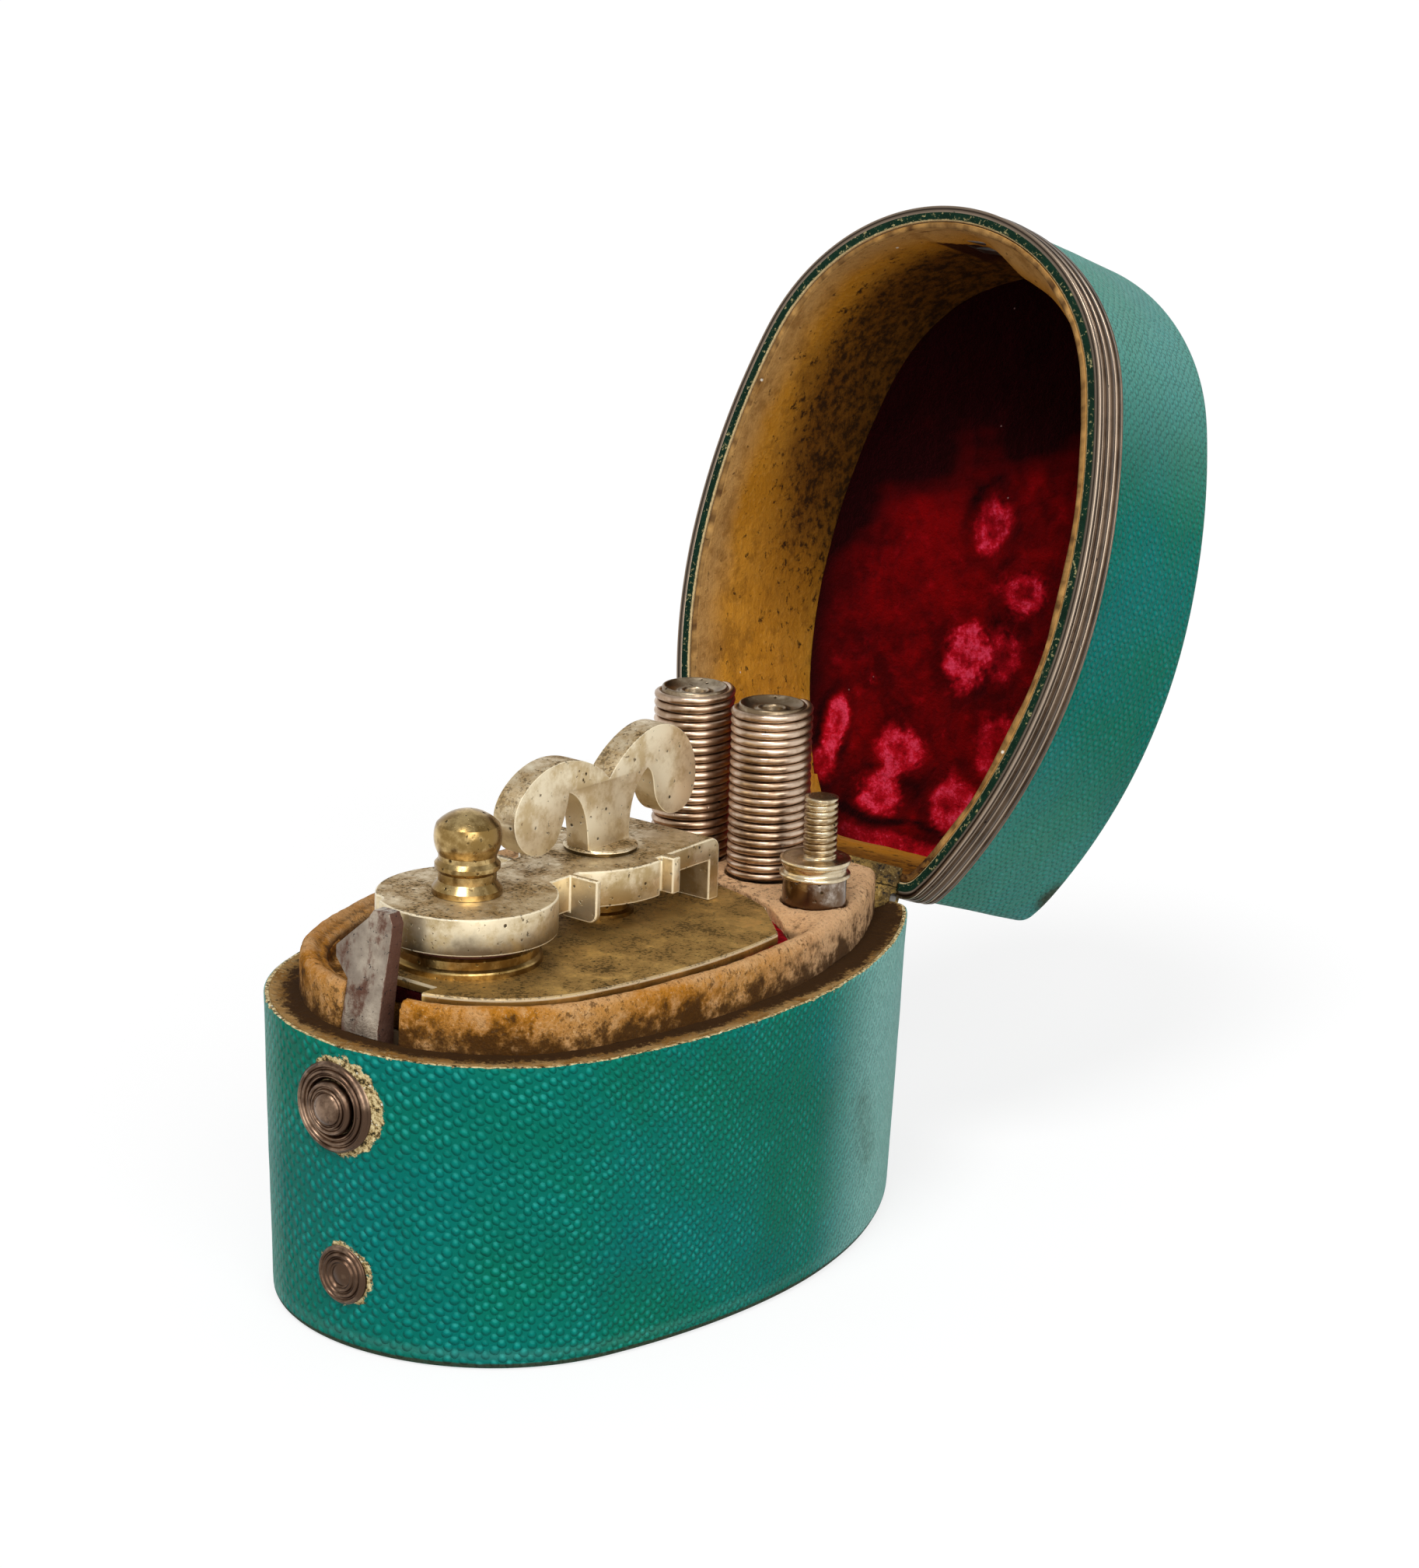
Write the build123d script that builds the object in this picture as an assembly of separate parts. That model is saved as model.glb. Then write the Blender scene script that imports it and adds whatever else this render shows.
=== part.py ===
from build123d import *
import math
import os

os.makedirs("parts", exist_ok=True)

# Case plan: long axis on Y, catch at the front (-Y), hinge on the straight back (+Y), underside at z = 0
front_reach = 46.0
half_width = 29.8
front_end_narrowing = 2.9
rear_oval_reach = 48.0
rear_end_narrowing = 7.1
rear_flat_y = 41.1
rear_corner_radius = 3.0
fit_gap = 0.05

# Base
base_height = 37.0
wall_draw = 1.2
skin_thickness = 0.7
wall_thickness = 3.4
floor_thickness = 2.4
bottom_round = 1.0
cover_thickness = 0.8
cover_margin = 3.0
ledge_leather = 0.4
collar_rise = 5.6
collar_round = 1.5
collar_depth = 7.0

# Deck recess and plate
recess_inset = 7.5
plate_gap = 0.4
recess_tip_y = 8.6
recess_apex_y = 18.4
plate_thickness = 1.2
plate_below_collar = 0.3
velvet_thickness = 2.0
plate_tip_cut = 8.1
plate_tip_rise = 5.6
plate_tip_slope = 44
hollow_back_y = -14.0
hollow_margin = 0.6

# Ink well under the clamp
well_setback = 21.7
glass_radius = 9.9
glass_wall = 1.9
glass_floor = 2.2
glass_shoulder = 2.4
mouth_radius = 5.2
neck_wall = 1.1
brass_neck_radius = 8.5
brass_flange_radius = 8.9
brass_flange_height = 0.8
gasket_thickness = 1.0
gasket_radius = 8.1

# Clamp bar, knob, screw and thumb turn
bar_rise = 13.1
bar_thickness = 4.4
disc_radius = 10.6
flute_radius = 1.3
flute_angle = 234
waist_half = 4.6
lobe_half = 8.6
tail_half = 7.6
tail_end_y = 13.5
tail_thickness = 2.7
heel_thickness = 1.9
heel_clearance = 0.05
lug_side = 0.8
lug_setback = 2.5
lug_drop = 0.8
lug_round = 1.2
screw_radius = 2.2
screw_clearance = 0.06
screw_depth = 12.0
boss_radius = 3.6
boss_height = 1.8
knob_height = 9.9
knob_head_radius = 3.95
knob_foot_radius = 4.1
turn_thickness = 3.3
turn_foot_radius = 4.5
turn_foot_height = 0.4
turn_height = 13.0
turn_clearance = 2.3
washer_radius = 4.4
washer_thickness = 0.3

# Wound tubes and threaded peg
tube_x = 6.0
tube_y = 25.5
tube_radius = 5.05
tube_rise = 27.2
tube_seat_depth = 9.0
tube_flange = 0.9
wire_diameter = 0.74
wire_sides = 6
wire_pitch = 1.16
wire_clearance = 0.06
tube_wall = 0.8
tube_hole_radius = 1.6
tube_dish = 1.3
peg_from_side = 12.5
peg_y = 20.0
peg_sleeve_radius = 3.9
peg_flange_radius = 4.3
peg_sleeve_rise = 8.9
peg_flange_height = 2.4
peg_thread_radius = 2.05
peg_rise = 18.7
peg_seat_depth = 7.0
seat_clearance = 0.15

# Catch: push button, leaf spring with a hooked head, rivet at its foot
catch_x = -0.9
button_drop = 7.5
bezel_radius = 5.35
bezel_depth = 1.2
button_radius = 3.2
button_proud = 1.2
shank_radius = 1.5
button_travel = 0.6
leaf_width = 5.5
leaf_foot_z = 6.0
leaf_top_rise = 14.1
barb_rise = 9.0
barb_reach = 2.4
leaf_lean = 2.7
leaf_head_thickness = 1.8
leaf_body_thickness = 2.6
leaf_spring_thickness = 1.4
rivet_z = 9.2
rosette_radius = 3.5
rivet_radius = 1.0
rivet_play = 0.2
slot_left = 3.85
slot_right = 4.8
slot_back = 7.0

# Lid, drawn closed and then swung back on its hinge
lid_height = 30.2
lid_round = 2.0
lid_wall = 1.0
lid_top_wall = 0.8
lid_leather = 0.75
pad_thickness = 0.9
band_height = 6.0
band_proud = 0.5
band_body = 0.55
rim_strip_height = 0.5
lid_open_angle = 109.45
strike_width = 9.0
strike_thickness = 0.5
strike_height = 8.0

# Hinge
hinge_half = 14.0
knuckle_radius = 1.45
pin_radius = 0.7
pin_clearance = 0.04
leaf_plate = 0.6
leaf_reach = 4.0
knuckle_gap = 0.1
knuckles = 5

front_end_radius = half_width - front_end_narrowing
rear_end_radius = half_width - rear_end_narrowing
well_y = well_setback - front_reach
button_z = base_height - button_drop
peg_x = half_width - peg_from_side
hinge_y = rear_flat_y + band_proud
collar_top = base_height + collar_rise
plate_top = collar_top - plate_below_collar
plate_bottom = plate_top - plate_thickness
collar_inset = skin_thickness + wall_thickness + fit_gap
bar_top = base_height + bar_rise
bar_bottom = bar_top - bar_thickness
lid_top = base_height + lid_height


def polar(centre_x, centre_y, radius, degrees):
    turn = math.radians(degrees)
    return (centre_x + radius * math.cos(turn), centre_y + radius * math.sin(turn))


def arc_about(centre_x, centre_y, radius, start, end):
    middle = (start + end) / 2
    return ThreePointArc(
        polar(centre_x, centre_y, radius, start),
        polar(centre_x, centre_y, radius, middle),
        polar(centre_x, centre_y, radius, end),
    )


def side_radius(reach, end_radius):
    """Radius of the flat side arc that runs tangent into an end arc of this oval."""
    run = reach - end_radius
    return (run ** 2 + half_width ** 2 - end_radius ** 2) / (2 * (half_width - end_radius))


def case_outline(inset=0.0):
    """Plan of the case drawn in by the inset: an oval of arcs, cut straight at the hinge."""
    front_run = front_reach - front_end_radius
    rear_run = rear_oval_reach - rear_end_radius
    front_side = side_radius(front_reach, front_end_radius)
    rear_side = side_radius(rear_oval_reach, rear_end_radius)
    front_turn = math.degrees(math.atan2(front_run, front_side - half_width))
    rear_turn = math.degrees(math.atan2(rear_run, rear_side - half_width))
    right = [
        arc_about(half_width - front_side, 0, front_side - inset, -front_turn, 0),
        arc_about(half_width - rear_side, 0, rear_side - inset, 0, rear_turn),
    ]
    left = [mirror(edge, about=Plane.YZ) for edge in right]
    rear = arc_about(0, rear_run, rear_end_radius - inset, rear_turn, 180 - rear_turn)
    front = arc_about(0, -front_run, front_end_radius - inset, 180 + front_turn, 360 - front_turn)
    flat_y = rear_flat_y - inset
    behind = Pos(0, flat_y) * Rectangle(2 * half_width, front_reach, align=(Align.CENTER, Align.MIN))
    face = make_face(Curve() + right + left + [rear, front]) - behind
    corners = face.vertices().filter_by(lambda v: abs(v.Y - flat_y) < 0.001)
    return fillet(corners, max(rear_corner_radius - inset, 0.4))


def slab(plan, low, high):
    """Upright solid on a plan, from one height to another."""
    return extrude(Pos(0, 0, low) * plan, high - low, dir=(0, 0, 1))


def across(side, low, high):
    """Solid from a side view on the YZ plane, between two places on X."""
    return extrude(Pos(low, 0, 0) * side, high - low, dir=(1, 0, 0))


def lengthwise(view, low, high):
    """Solid from a front view on the XZ plane, between two places on Y."""
    return extrude(Pos(0, low, 0) * view, high - low, dir=(0, 1, 0))


def drawn_in(inset, low, high):
    """Base wall solid: full plan at the rim, drawn in towards the underside."""
    slope = math.degrees(math.atan(wall_draw / base_height))
    at_top = inset + wall_draw * (1 - high / base_height)
    return extrude(Pos(0, 0, high) * case_outline(at_top), high - low, dir=(0, 0, -1), taper=slope)


def rod(radius, low, high, x=0.0, y=0.0):
    return Pos(x, y, low) * Cylinder(radius, high - low, align=(Align.CENTER, Align.CENTER, Align.MIN))


def block(x_range, y_range, z_range):
    size = [end - start for start, end in (x_range, y_range, z_range)]
    return Pos(x_range[0], y_range[0], z_range[0]) * Box(*size, align=(Align.MIN, Align.MIN, Align.MIN))


def turned(profile, x=0.0, y=0.0):
    """Solid of revolution about an upright axis, from (radius, height) points."""
    points = [(radius, height) for radius, height in profile]
    face = make_face(Plane.XZ * Polyline(*points, close=True))
    return Pos(x, y, 0) * revolve(face, Axis.Z)


def turned_on_front(profile, height, x=0.0):
    """Solid of revolution about a line along Y at a height, from (radius, y) points."""
    points = [(radius, y) for radius, y in profile]
    face = make_face(Polyline(*points, close=True))
    return Pos(x, 0, height) * revolve(face, Axis.Y)


def opened(shape):
    """Swings a lid piece from closed to its rest place, leaning back past upright."""
    return shape.rotate(Axis((0, hinge_y, base_height), (1, 0, 0)), -lid_open_angle)


def save(name, shape):
    solids = shape.solids()
    result = solids[0] if len(solids) == 1 else Compound(children=list(solids))
    export_step(result, f"parts/{name}.step")


# The well, the two tubes, the peg and the screw all drop through the same layers
tube_places = [(-tube_x, tube_y), (tube_x, tube_y)]
slot = block(
    (-slot_left, slot_right),
    (-front_reach + collar_inset - 1, -front_reach + collar_inset + slot_back),
    (leaf_foot_z - 1, lid_top),
)
hinge_groove = Pos(0, hinge_y, base_height) * Rot(0, 90, 0) * Cylinder(
    knuckle_radius + knuckle_gap, 2 * hinge_half + 2 * knuckle_gap
)


def layer_holes(low, high):
    """Shafts that a liner layer leaves for the tubes and the peg."""
    holes = [rod(tube_radius + seat_clearance, low, high, x, y) for x, y in tube_places]
    holes.append(rod(peg_sleeve_radius + seat_clearance, low, high, peg_x, peg_y))
    return holes


# Base shell
front_bore = -front_reach + bezel_depth
base_floor = cover_thickness + floor_thickness
inner_plan = case_outline(skin_thickness + wall_thickness)
bezel_bore = Pos(catch_x, front_bore, button_z) * Rot(90, 0, 0) * Cylinder(
    bezel_radius + fit_gap, 4, align=(Align.CENTER, Align.CENTER, Align.MIN)
)
shank_bore = Pos(catch_x, 0, button_z) * Rot(90, 0, 0) * Cylinder(
    shank_radius + screw_clearance, front_reach, align=(Align.CENTER, Align.CENTER, Align.MIN)
)
rivet_bore = Pos(0, 0, rivet_z) * Rot(90, 0, 0) * Cylinder(
    rivet_radius, front_reach, align=(Align.CENTER, Align.CENTER, Align.MIN)
)
rosette_face = -front_reach + wall_draw * (1 - rivet_z / base_height)
rosette_bore = Pos(0, rosette_face + 0.5, rivet_z) * Rot(90, 0, 0) * Cylinder(
    rosette_radius + fit_gap, 4, align=(Align.CENTER, Align.CENTER, Align.MIN)
)
front_bores = [bezel_bore, shank_bore, rivet_bore, rosette_bore]
base_leaf_seat = block(
    (-hinge_half - fit_gap, hinge_half + fit_gap),
    (hinge_y - leaf_reach - fit_gap, hinge_y + 1),
    (base_height - leaf_plate - 2 * fit_gap, base_height + 1),
)

skin_bottom = cover_thickness / 2
skin_outer = drawn_in(0, skin_bottom, base_height)
skin_outer = chamfer(skin_outer.faces().sort_by(Axis.Z)[0].edges(), bottom_round)
skin_inner = drawn_in(skin_thickness, skin_bottom + skin_thickness, base_height)
skin_window = slab(case_outline(wall_draw + cover_margin), 0, skin_bottom + skin_thickness)
base_skin = skin_outer - skin_inner - skin_window - hinge_groove - base_leaf_seat
base_skin -= front_bores

carcass_top = base_height - ledge_leather
base_carcass = drawn_in(skin_thickness + fit_gap, skin_bottom + skin_thickness, carcass_top)
base_carcass -= slab(inner_plan, base_floor, base_height)
base_carcass -= front_bores
base_carcass -= hinge_groove
base_carcass -= base_leaf_seat

underside_cover = slab(case_outline(wall_draw + cover_margin + fit_gap), 0, skin_bottom + skin_thickness)

ledge_lining = slab(case_outline(skin_thickness + fit_gap), carcass_top, base_height)
ledge_lining -= slab(inner_plan, carcass_top, base_height)
ledge_lining -= hinge_groove
ledge_lining -= base_leaf_seat

# Liner block, collar and deck recess
collar_bottom = collar_top - collar_depth
recess_floor = plate_bottom - velvet_thickness - fit_gap
recess_sagitta = recess_apex_y - recess_tip_y
recess_half = half_width - recess_inset
recess_arc_radius = (recess_half ** 2 + recess_sagitta ** 2) / (2 * recess_sagitta)


def recess_outline(margin):
    """Almond plan of the deck recess: the case plan in front, one wide arc behind."""
    wide = case_outline(recess_inset + margin)
    rear = Pos(0, recess_apex_y - recess_arc_radius) * Circle(recess_arc_radius - margin)
    front = Pos(0, -front_reach) * Rectangle(2 * half_width, 2 * (front_reach + recess_tip_y - 4))
    return wide & (rear + front)


screw_shaft = rod(screw_radius + seat_clearance, base_floor, collar_top)
liner_block = slab(case_outline(collar_inset), base_floor + fit_gap, collar_bottom)
liner_block -= rod(glass_radius + seat_clearance, base_floor, collar_top, y=well_y)
liner_block -= screw_shaft
liner_block -= slot
tube_floor = collar_top - tube_seat_depth
peg_floor = collar_top - peg_seat_depth
for x, y in tube_places:
    liner_block -= rod(tube_radius + seat_clearance, tube_floor, collar_top, x, y)
liner_block -= rod(peg_sleeve_radius + seat_clearance, peg_floor, collar_top, peg_x, peg_y)

collar = slab(case_outline(collar_inset), collar_bottom + fit_gap, collar_top)
collar = fillet(collar.faces().sort_by(Axis.Z)[-1].edges(), collar_round)
collar -= slab(recess_outline(0), recess_floor, collar_top)
collar -= rod(glass_radius + seat_clearance, collar_bottom, collar_top, y=well_y)
collar -= screw_shaft
collar -= slot
collar -= layer_holes(collar_bottom, collar_top)

recess_velvet = slab(recess_outline(fit_gap), recess_floor + fit_gap, plate_bottom)
recess_velvet -= rod(glass_radius + seat_clearance, collar_bottom, collar_top, y=well_y)
recess_velvet -= screw_shaft
recess_velvet -= slot
hollow_round = Pos(0, well_y) * Circle(disc_radius + hollow_margin)
hollow_side = Pos(0, -front_reach) * Rectangle(
    half_width, front_reach + hollow_back_y, align=(Align.MAX, Align.MIN)
)
hollow = slab(hollow_side - hollow_round, recess_floor, collar_top)
recess_velvet -= hollow
recess_velvet -= layer_holes(collar_bottom, collar_top)

deck_plate = slab(recess_outline(plate_gap), plate_bottom, plate_top)
deck_plate = chamfer(deck_plate.faces().sort_by(Axis.Z)[-1].edges(), 0.15)
deck_plate -= rod(mouth_radius + neck_wall + fit_gap, plate_bottom, plate_top, y=well_y)
deck_plate -= screw_shaft
deck_plate -= slot
deck_plate -= hollow
tip_cut = Pos(recess_half - plate_tip_cut, recess_tip_y + plate_tip_rise) * Rot(0, 0, -plate_tip_slope)
tip_cut = slab(tip_cut * Rectangle(half_width, half_width, align=(Align.MIN, Align.MIN)), plate_bottom, plate_top)
deck_plate -= [tip_cut, mirror(tip_cut, about=Plane.YZ)]

# Ink well: glass pot in the block, brass neck on the deck, gasket under the clamp disc
glass_foot = base_floor + 2 * fit_gap
neck_outer = mouth_radius + neck_wall
shoulder_low = plate_bottom - glass_shoulder
glass_top = bar_bottom - gasket_thickness - fit_gap
well_glass = turned(
    [
        (0, glass_foot),
        (glass_radius - 1.0, glass_foot),
        (glass_radius, glass_foot + 1.0),
        (glass_radius, shoulder_low),
        (neck_outer, plate_bottom - fit_gap),
        (neck_outer, glass_top),
        (mouth_radius, glass_top),
        (mouth_radius, plate_bottom - fit_gap - neck_wall),
        (glass_radius - glass_wall, shoulder_low - neck_wall),
        (glass_radius - glass_wall, glass_foot + glass_floor),
        (0, glass_foot + glass_floor),
    ],
    y=well_y,
)
flange_top = plate_top + brass_flange_height
well_neck = turned(
    [
        (neck_outer + fit_gap, plate_top),
        (brass_flange_radius, plate_top),
        (brass_flange_radius, flange_top - 0.2),
        (brass_neck_radius + 0.3, flange_top),
        (brass_neck_radius, flange_top + 0.3),
        (brass_neck_radius, glass_top - 0.3),
        (brass_neck_radius - 0.3, glass_top),
        (neck_outer + fit_gap, glass_top),
    ],
    y=well_y,
)
well_gasket = turned(
    [
        (mouth_radius, glass_top),
        (gasket_radius, glass_top),
        (gasket_radius + 0.2, glass_top + gasket_thickness / 2),
        (gasket_radius, glass_top + gasket_thickness),
        (mouth_radius, glass_top + gasket_thickness),
    ],
    y=well_y,
)
boss_top = plate_top + boss_height
screw_boss = turned(
    [
        (screw_radius + screw_clearance, plate_top),
        (boss_radius + 0.6, plate_top),
        (boss_radius + 0.6, plate_top + 0.5),
        (boss_radius, plate_top + 0.7),
        (boss_radius, boss_top - 0.3),
        (boss_radius - 0.3, boss_top),
        (screw_radius + screw_clearance, boss_top),
    ]
)

# Clamp bar: round foot over the well, waist with hooked lugs, bowed lobes, tail with a heel
tab_y = 2.2
tab_length = 1.4
lug_y = well_y + disc_radius + lug_setback
lobe_start_y = -9.6
lobe_end_y = 0.8
waist_end_y = lobe_start_y + 3.1
lobe_middle = (lobe_half - 0.7, (lobe_start_y + lobe_end_y) / 2)
lobe_edges = [
    Line((0, lobe_start_y), (waist_half, lobe_start_y)),
    ThreePointArc((waist_half, lobe_start_y), lobe_middle, (lobe_half, lobe_end_y)),
    Line((lobe_half, lobe_end_y), (tail_half - 0.3, lobe_end_y + 0.6)),
    Line((tail_half - 0.3, lobe_end_y + 0.6), (0, lobe_end_y + 0.6)),
    Line((0, lobe_end_y + 0.6), (0, lobe_start_y)),
]
lobe_side = make_face(Curve() + lobe_edges)
disc = Pos(0, well_y) * Circle(disc_radius)
waist = Pos(0, (well_y + waist_end_y) / 2) * Rectangle(2 * waist_half, waist_end_y - well_y)
tabs = Pos(0, tab_y + tab_length / 2) * Rectangle(2 * (lobe_half + 0.8), tab_length)
bar_plan = disc + waist + lobe_side + mirror(lobe_side, about=Plane.YZ) + tabs
bar_plan += Pos(0, 2.4) * Rectangle(2 * tail_half, 3.6)
bar_body = slab(bar_plan, bar_bottom, bar_top)

tail_start_y = 4.0
tail_under = bar_top - tail_thickness
heel_y = tail_end_y - heel_thickness
heel_foot = plate_top + heel_clearance
tail_edges = [
    Line((tail_start_y, bar_bottom), (tail_start_y + 0.6, bar_bottom)),
    ThreePointArc(
        (tail_start_y + 0.6, bar_bottom),
        (tail_start_y + 1.1, tail_under - 0.5),
        (tail_start_y + 2.6, tail_under),
    ),
    Line((tail_start_y + 2.6, tail_under), (heel_y, tail_under)),
    Line((heel_y, tail_under), (heel_y, heel_foot)),
    Line((heel_y, heel_foot), (tail_end_y, heel_foot)),
    Line((tail_end_y, heel_foot), (tail_end_y, bar_top - 1.6)),
    ThreePointArc(
        (tail_end_y, bar_top - 1.6),
        (tail_end_y - 0.45, bar_top - 0.45),
        (tail_end_y - 1.6, bar_top),
    ),
    Line((tail_end_y - 1.6, bar_top), (tail_start_y, bar_top)),
    Line((tail_start_y, bar_top), (tail_start_y, bar_bottom)),
]
tail = across(make_face(Plane.YZ * (Curve() + tail_edges)), -tail_half, tail_half)
lug_low = bar_bottom - lug_drop
lug_root = waist_half - 1
lug_edges = [
    Line((lug_root, lug_low), (lobe_half - lug_round, lug_low)),
    ThreePointArc(
        (lobe_half - lug_round, lug_low),
        polar(lobe_half - lug_round, lug_low + lug_round, lug_round, -45),
        (lobe_half, lug_low + lug_round),
    ),
    Line((lobe_half, lug_low + lug_round), (lobe_half, bar_top)),
    Line((lobe_half, bar_top), (lug_root, bar_top)),
    Line((lug_root, bar_top), (lug_root, lug_low)),
]
lug = lengthwise(make_face(Plane.XZ * (Curve() + lug_edges)), lug_y, lug_y + lug_side)
flute_place = polar(0, well_y, disc_radius + 0.5 * flute_radius, flute_angle)
clamp_bar = bar_body + tail + lug + mirror(lug, about=Plane.YZ)
clamp_bar -= rod(flute_radius, bar_bottom, bar_top, *flute_place)
clamp_bar -= rod(screw_radius + screw_clearance, bar_bottom, bar_top)

knob_base = bar_top + fit_gap
knob_top = knob_base + knob_height
neck_radius = 0.86 * knob_head_radius
bead_radius = 0.97 * knob_head_radius
knob_steps = [
    (knob_foot_radius, 0.0),
    (knob_foot_radius, 0.07),
    (neck_radius, 0.16),
    (neck_radius, 0.26),
    (bead_radius, 0.31),
    (bead_radius, 0.36),
    (neck_radius, 0.41),
    (neck_radius, 0.47),
]
knob_profile = [(radius, knob_base + share * knob_height) for radius, share in knob_steps]
shoulder = (0.93 * knob_head_radius, knob_base + 0.83 * knob_height)
knob_swell = ThreePointArc(knob_profile[-1], (knob_head_radius, knob_base + 0.68 * knob_height), shoulder)
knob_cap = TangentArc((0, knob_top), shoulder, tangent=(1, 0))
knob_axis = Polyline((0, knob_top), (0, knob_base), knob_profile[0])
knob_lines = [Polyline(*knob_profile), knob_swell, knob_cap, knob_axis]
knob_half = make_face(Plane.XZ * (Curve() + knob_lines))
clamp_knob = Pos(0, well_y, 0) * revolve(knob_half, Axis.Z)

# Thumb turn: two unequal scrolls cut from plate, on a round foot and a washer
washer_base = bar_top + fit_gap
turn_base = washer_base + washer_thickness + fit_gap
clamp_washer = rod(washer_radius, washer_base, turn_base - fit_gap)
clamp_washer -= rod(screw_radius + screw_clearance, washer_base, turn_base)
stem_low = turn_base + turn_foot_height
knob_space = -well_y - knob_foot_radius
tube_space = math.hypot(tube_x, tube_y) - tube_radius
long_reach = min(knob_space, tube_space) - turn_clearance
scroll_left = [(-0.03, 0.63), (-0.25, 0.84), (-0.5, 0.92), (-0.82, 0.82)]
scroll_left += [(-1, 0.535), (-0.945, 0.25), (-0.76, 0.11), (-0.58, 0.18)]
slit_left = [(-0.58, 0.18), (-0.5, 0.38), (-0.45, 0.615)]
slit_right = [(-0.45, 0.615), (-0.31, 0.44), (-0.26, 0.235), (-0.24, 0)]
stem_right = [(0.19, 0), (0.207, 0.3), (0.274, 0.5), (0.375, 0.62)]
hook_inner = [(0.375, 0.62), (0.43, 0.52), (0.458, 0.345), (0.536, 0.175), (0.687, 0.095)]
scroll_right = [(0.687, 0.095), (0.855, 0.205), (0.9, 0.44), (0.805, 0.785)]
scroll_right += [(0.536, 0.99), (0.246, 0.915), (-0.03, 0.63)]
turn_runs = [scroll_left, slit_left, slit_right, stem_right, hook_inner, scroll_right]
turn_runs.append([stem_right[0], slit_right[-1]])


def turn_point(share):
    """Place on the thumb turn's face, from shares of its long reach and its height."""
    return (share[0] * long_reach, stem_low + share[1] * turn_height)


turn_edges = [Spline(*map(turn_point, run)) for run in turn_runs[:-1]]
turn_edges.append(Line(*map(turn_point, turn_runs[-1])))
turn_face = make_face(Plane.YZ * Wire(turn_edges))
turn_plate = across(turn_face, -turn_thickness / 2, turn_thickness / 2)
turn_foot = rod(turn_foot_radius, turn_base, stem_low)
turn_foot = chamfer(turn_foot.edges().sort_by(Axis.Z)[-1], 0.25)
thumb_turn = turn_plate + turn_foot
screw_low = bar_bottom - screw_depth
clamp_screw = rod(screw_radius, screw_low, turn_base)
clamp_screw = chamfer(clamp_screw.edges().sort_by(Axis.Z)[0], 0.4)

# Wound tubes: a wire helix on a sleeve with a dished cap
coil_radius = tube_radius - wire_diameter / 2
sleeve_radius = coil_radius - wire_diameter / 2 - wire_clearance
tube_top = base_height + tube_rise
sleeve_foot = tube_floor + fit_gap
winding_seat = collar_top - tube_flange
lead_rise = wire_diameter
lead_bend = 1.1
turns = math.floor((tube_top - winding_seat - lead_rise - lead_bend - wire_diameter / 2) / wire_pitch)


def helix_point(turn):
    """Place and direction on the winding's centre line after a number of turns."""
    angle = 2 * math.pi * turn
    place = Vector(
        coil_radius * math.cos(angle),
        coil_radius * math.sin(angle),
        winding_seat + lead_rise + lead_bend + wire_pitch * turn,
    )
    rise = wire_pitch / (2 * math.pi)
    heading = Vector(-coil_radius * math.sin(angle), coil_radius * math.cos(angle), rise)
    return place, heading.normalized()


def biarc(start, start_heading, end, end_heading):
    """Two arcs that leave and arrive along the given headings."""
    chord = end - start
    summed = start_heading + end_heading
    spread = 2 * (1 - start_heading.dot(end_heading))
    along = chord.dot(summed)
    reach = (-along + math.sqrt(along ** 2 + spread * chord.dot(chord))) / spread
    first_corner = start + start_heading * reach
    last_corner = end - end_heading * reach
    joint = (first_corner + last_corner) * 0.5
    joint_heading = (last_corner - first_corner).normalized()
    return [
        TangentArc(start, joint, tangent=start_heading),
        TangentArc(joint, end, tangent=joint_heading),
    ]


def winding_path():
    """Centre line of the wire: straight up off the flange, round the sleeve, and straight out."""
    first, first_heading = helix_point(0)
    foot = Vector(first.X, first.Y - lead_bend, winding_seat)
    lead_top = foot + Vector(0, 0, lead_rise)
    edges = [Line(foot, lead_top)]
    edges += biarc(lead_top, Vector(0, 0, 1), first, first_heading)
    for half in range(2 * turns):
        start, start_heading = helix_point(half / 2)
        end, end_heading = helix_point((half + 1) / 2)
        edges += biarc(start, start_heading, end, end_heading)
    last, last_heading = helix_point(turns)
    edges.append(Line(last, last + last_heading * wire_diameter))
    return Wire(edges), foot


def winding_gap():
    """Least gap of the wire to itself, measured between points on neighbouring turns."""
    samples = [helix_point(step / 48)[0] for step in range(48 * turns + 1)]
    least = wire_pitch * 2
    for index, point in enumerate(samples):
        for other in samples[index + 24 : index + 80]:
            least = min(least, (other - point).length)
    return least - wire_diameter


print(f"winding: {turns} turns, least gap to itself {winding_gap():.2f} mm")
winding_line, winding_foot = winding_path()
wire_section = RegularPolygon(wire_diameter / 2, wire_sides)
winding = sweep(Plane(winding_foot, z_dir=(0, 0, 1)) * wire_section, path=winding_line)
cap_low = tube_top - tube_dish - tube_wall
sleeve = turned(
    [
        (0, sleeve_foot),
        (tube_radius, sleeve_foot),
        (tube_radius, winding_seat),
        (sleeve_radius, winding_seat),
        (sleeve_radius, tube_top - 0.2),
        (sleeve_radius - 0.2, tube_top),
        (sleeve_radius - 0.5, tube_top),
        (tube_hole_radius + 0.3, tube_top - tube_dish),
        (tube_hole_radius + 0.3, tube_top - tube_dish + 0.35),
        (tube_hole_radius, tube_top - tube_dish + 0.35),
        (tube_hole_radius, cap_low),
        (sleeve_radius - tube_wall, cap_low),
        (sleeve_radius - tube_wall, winding_seat),
        (0, winding_seat),
    ]
)

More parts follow.
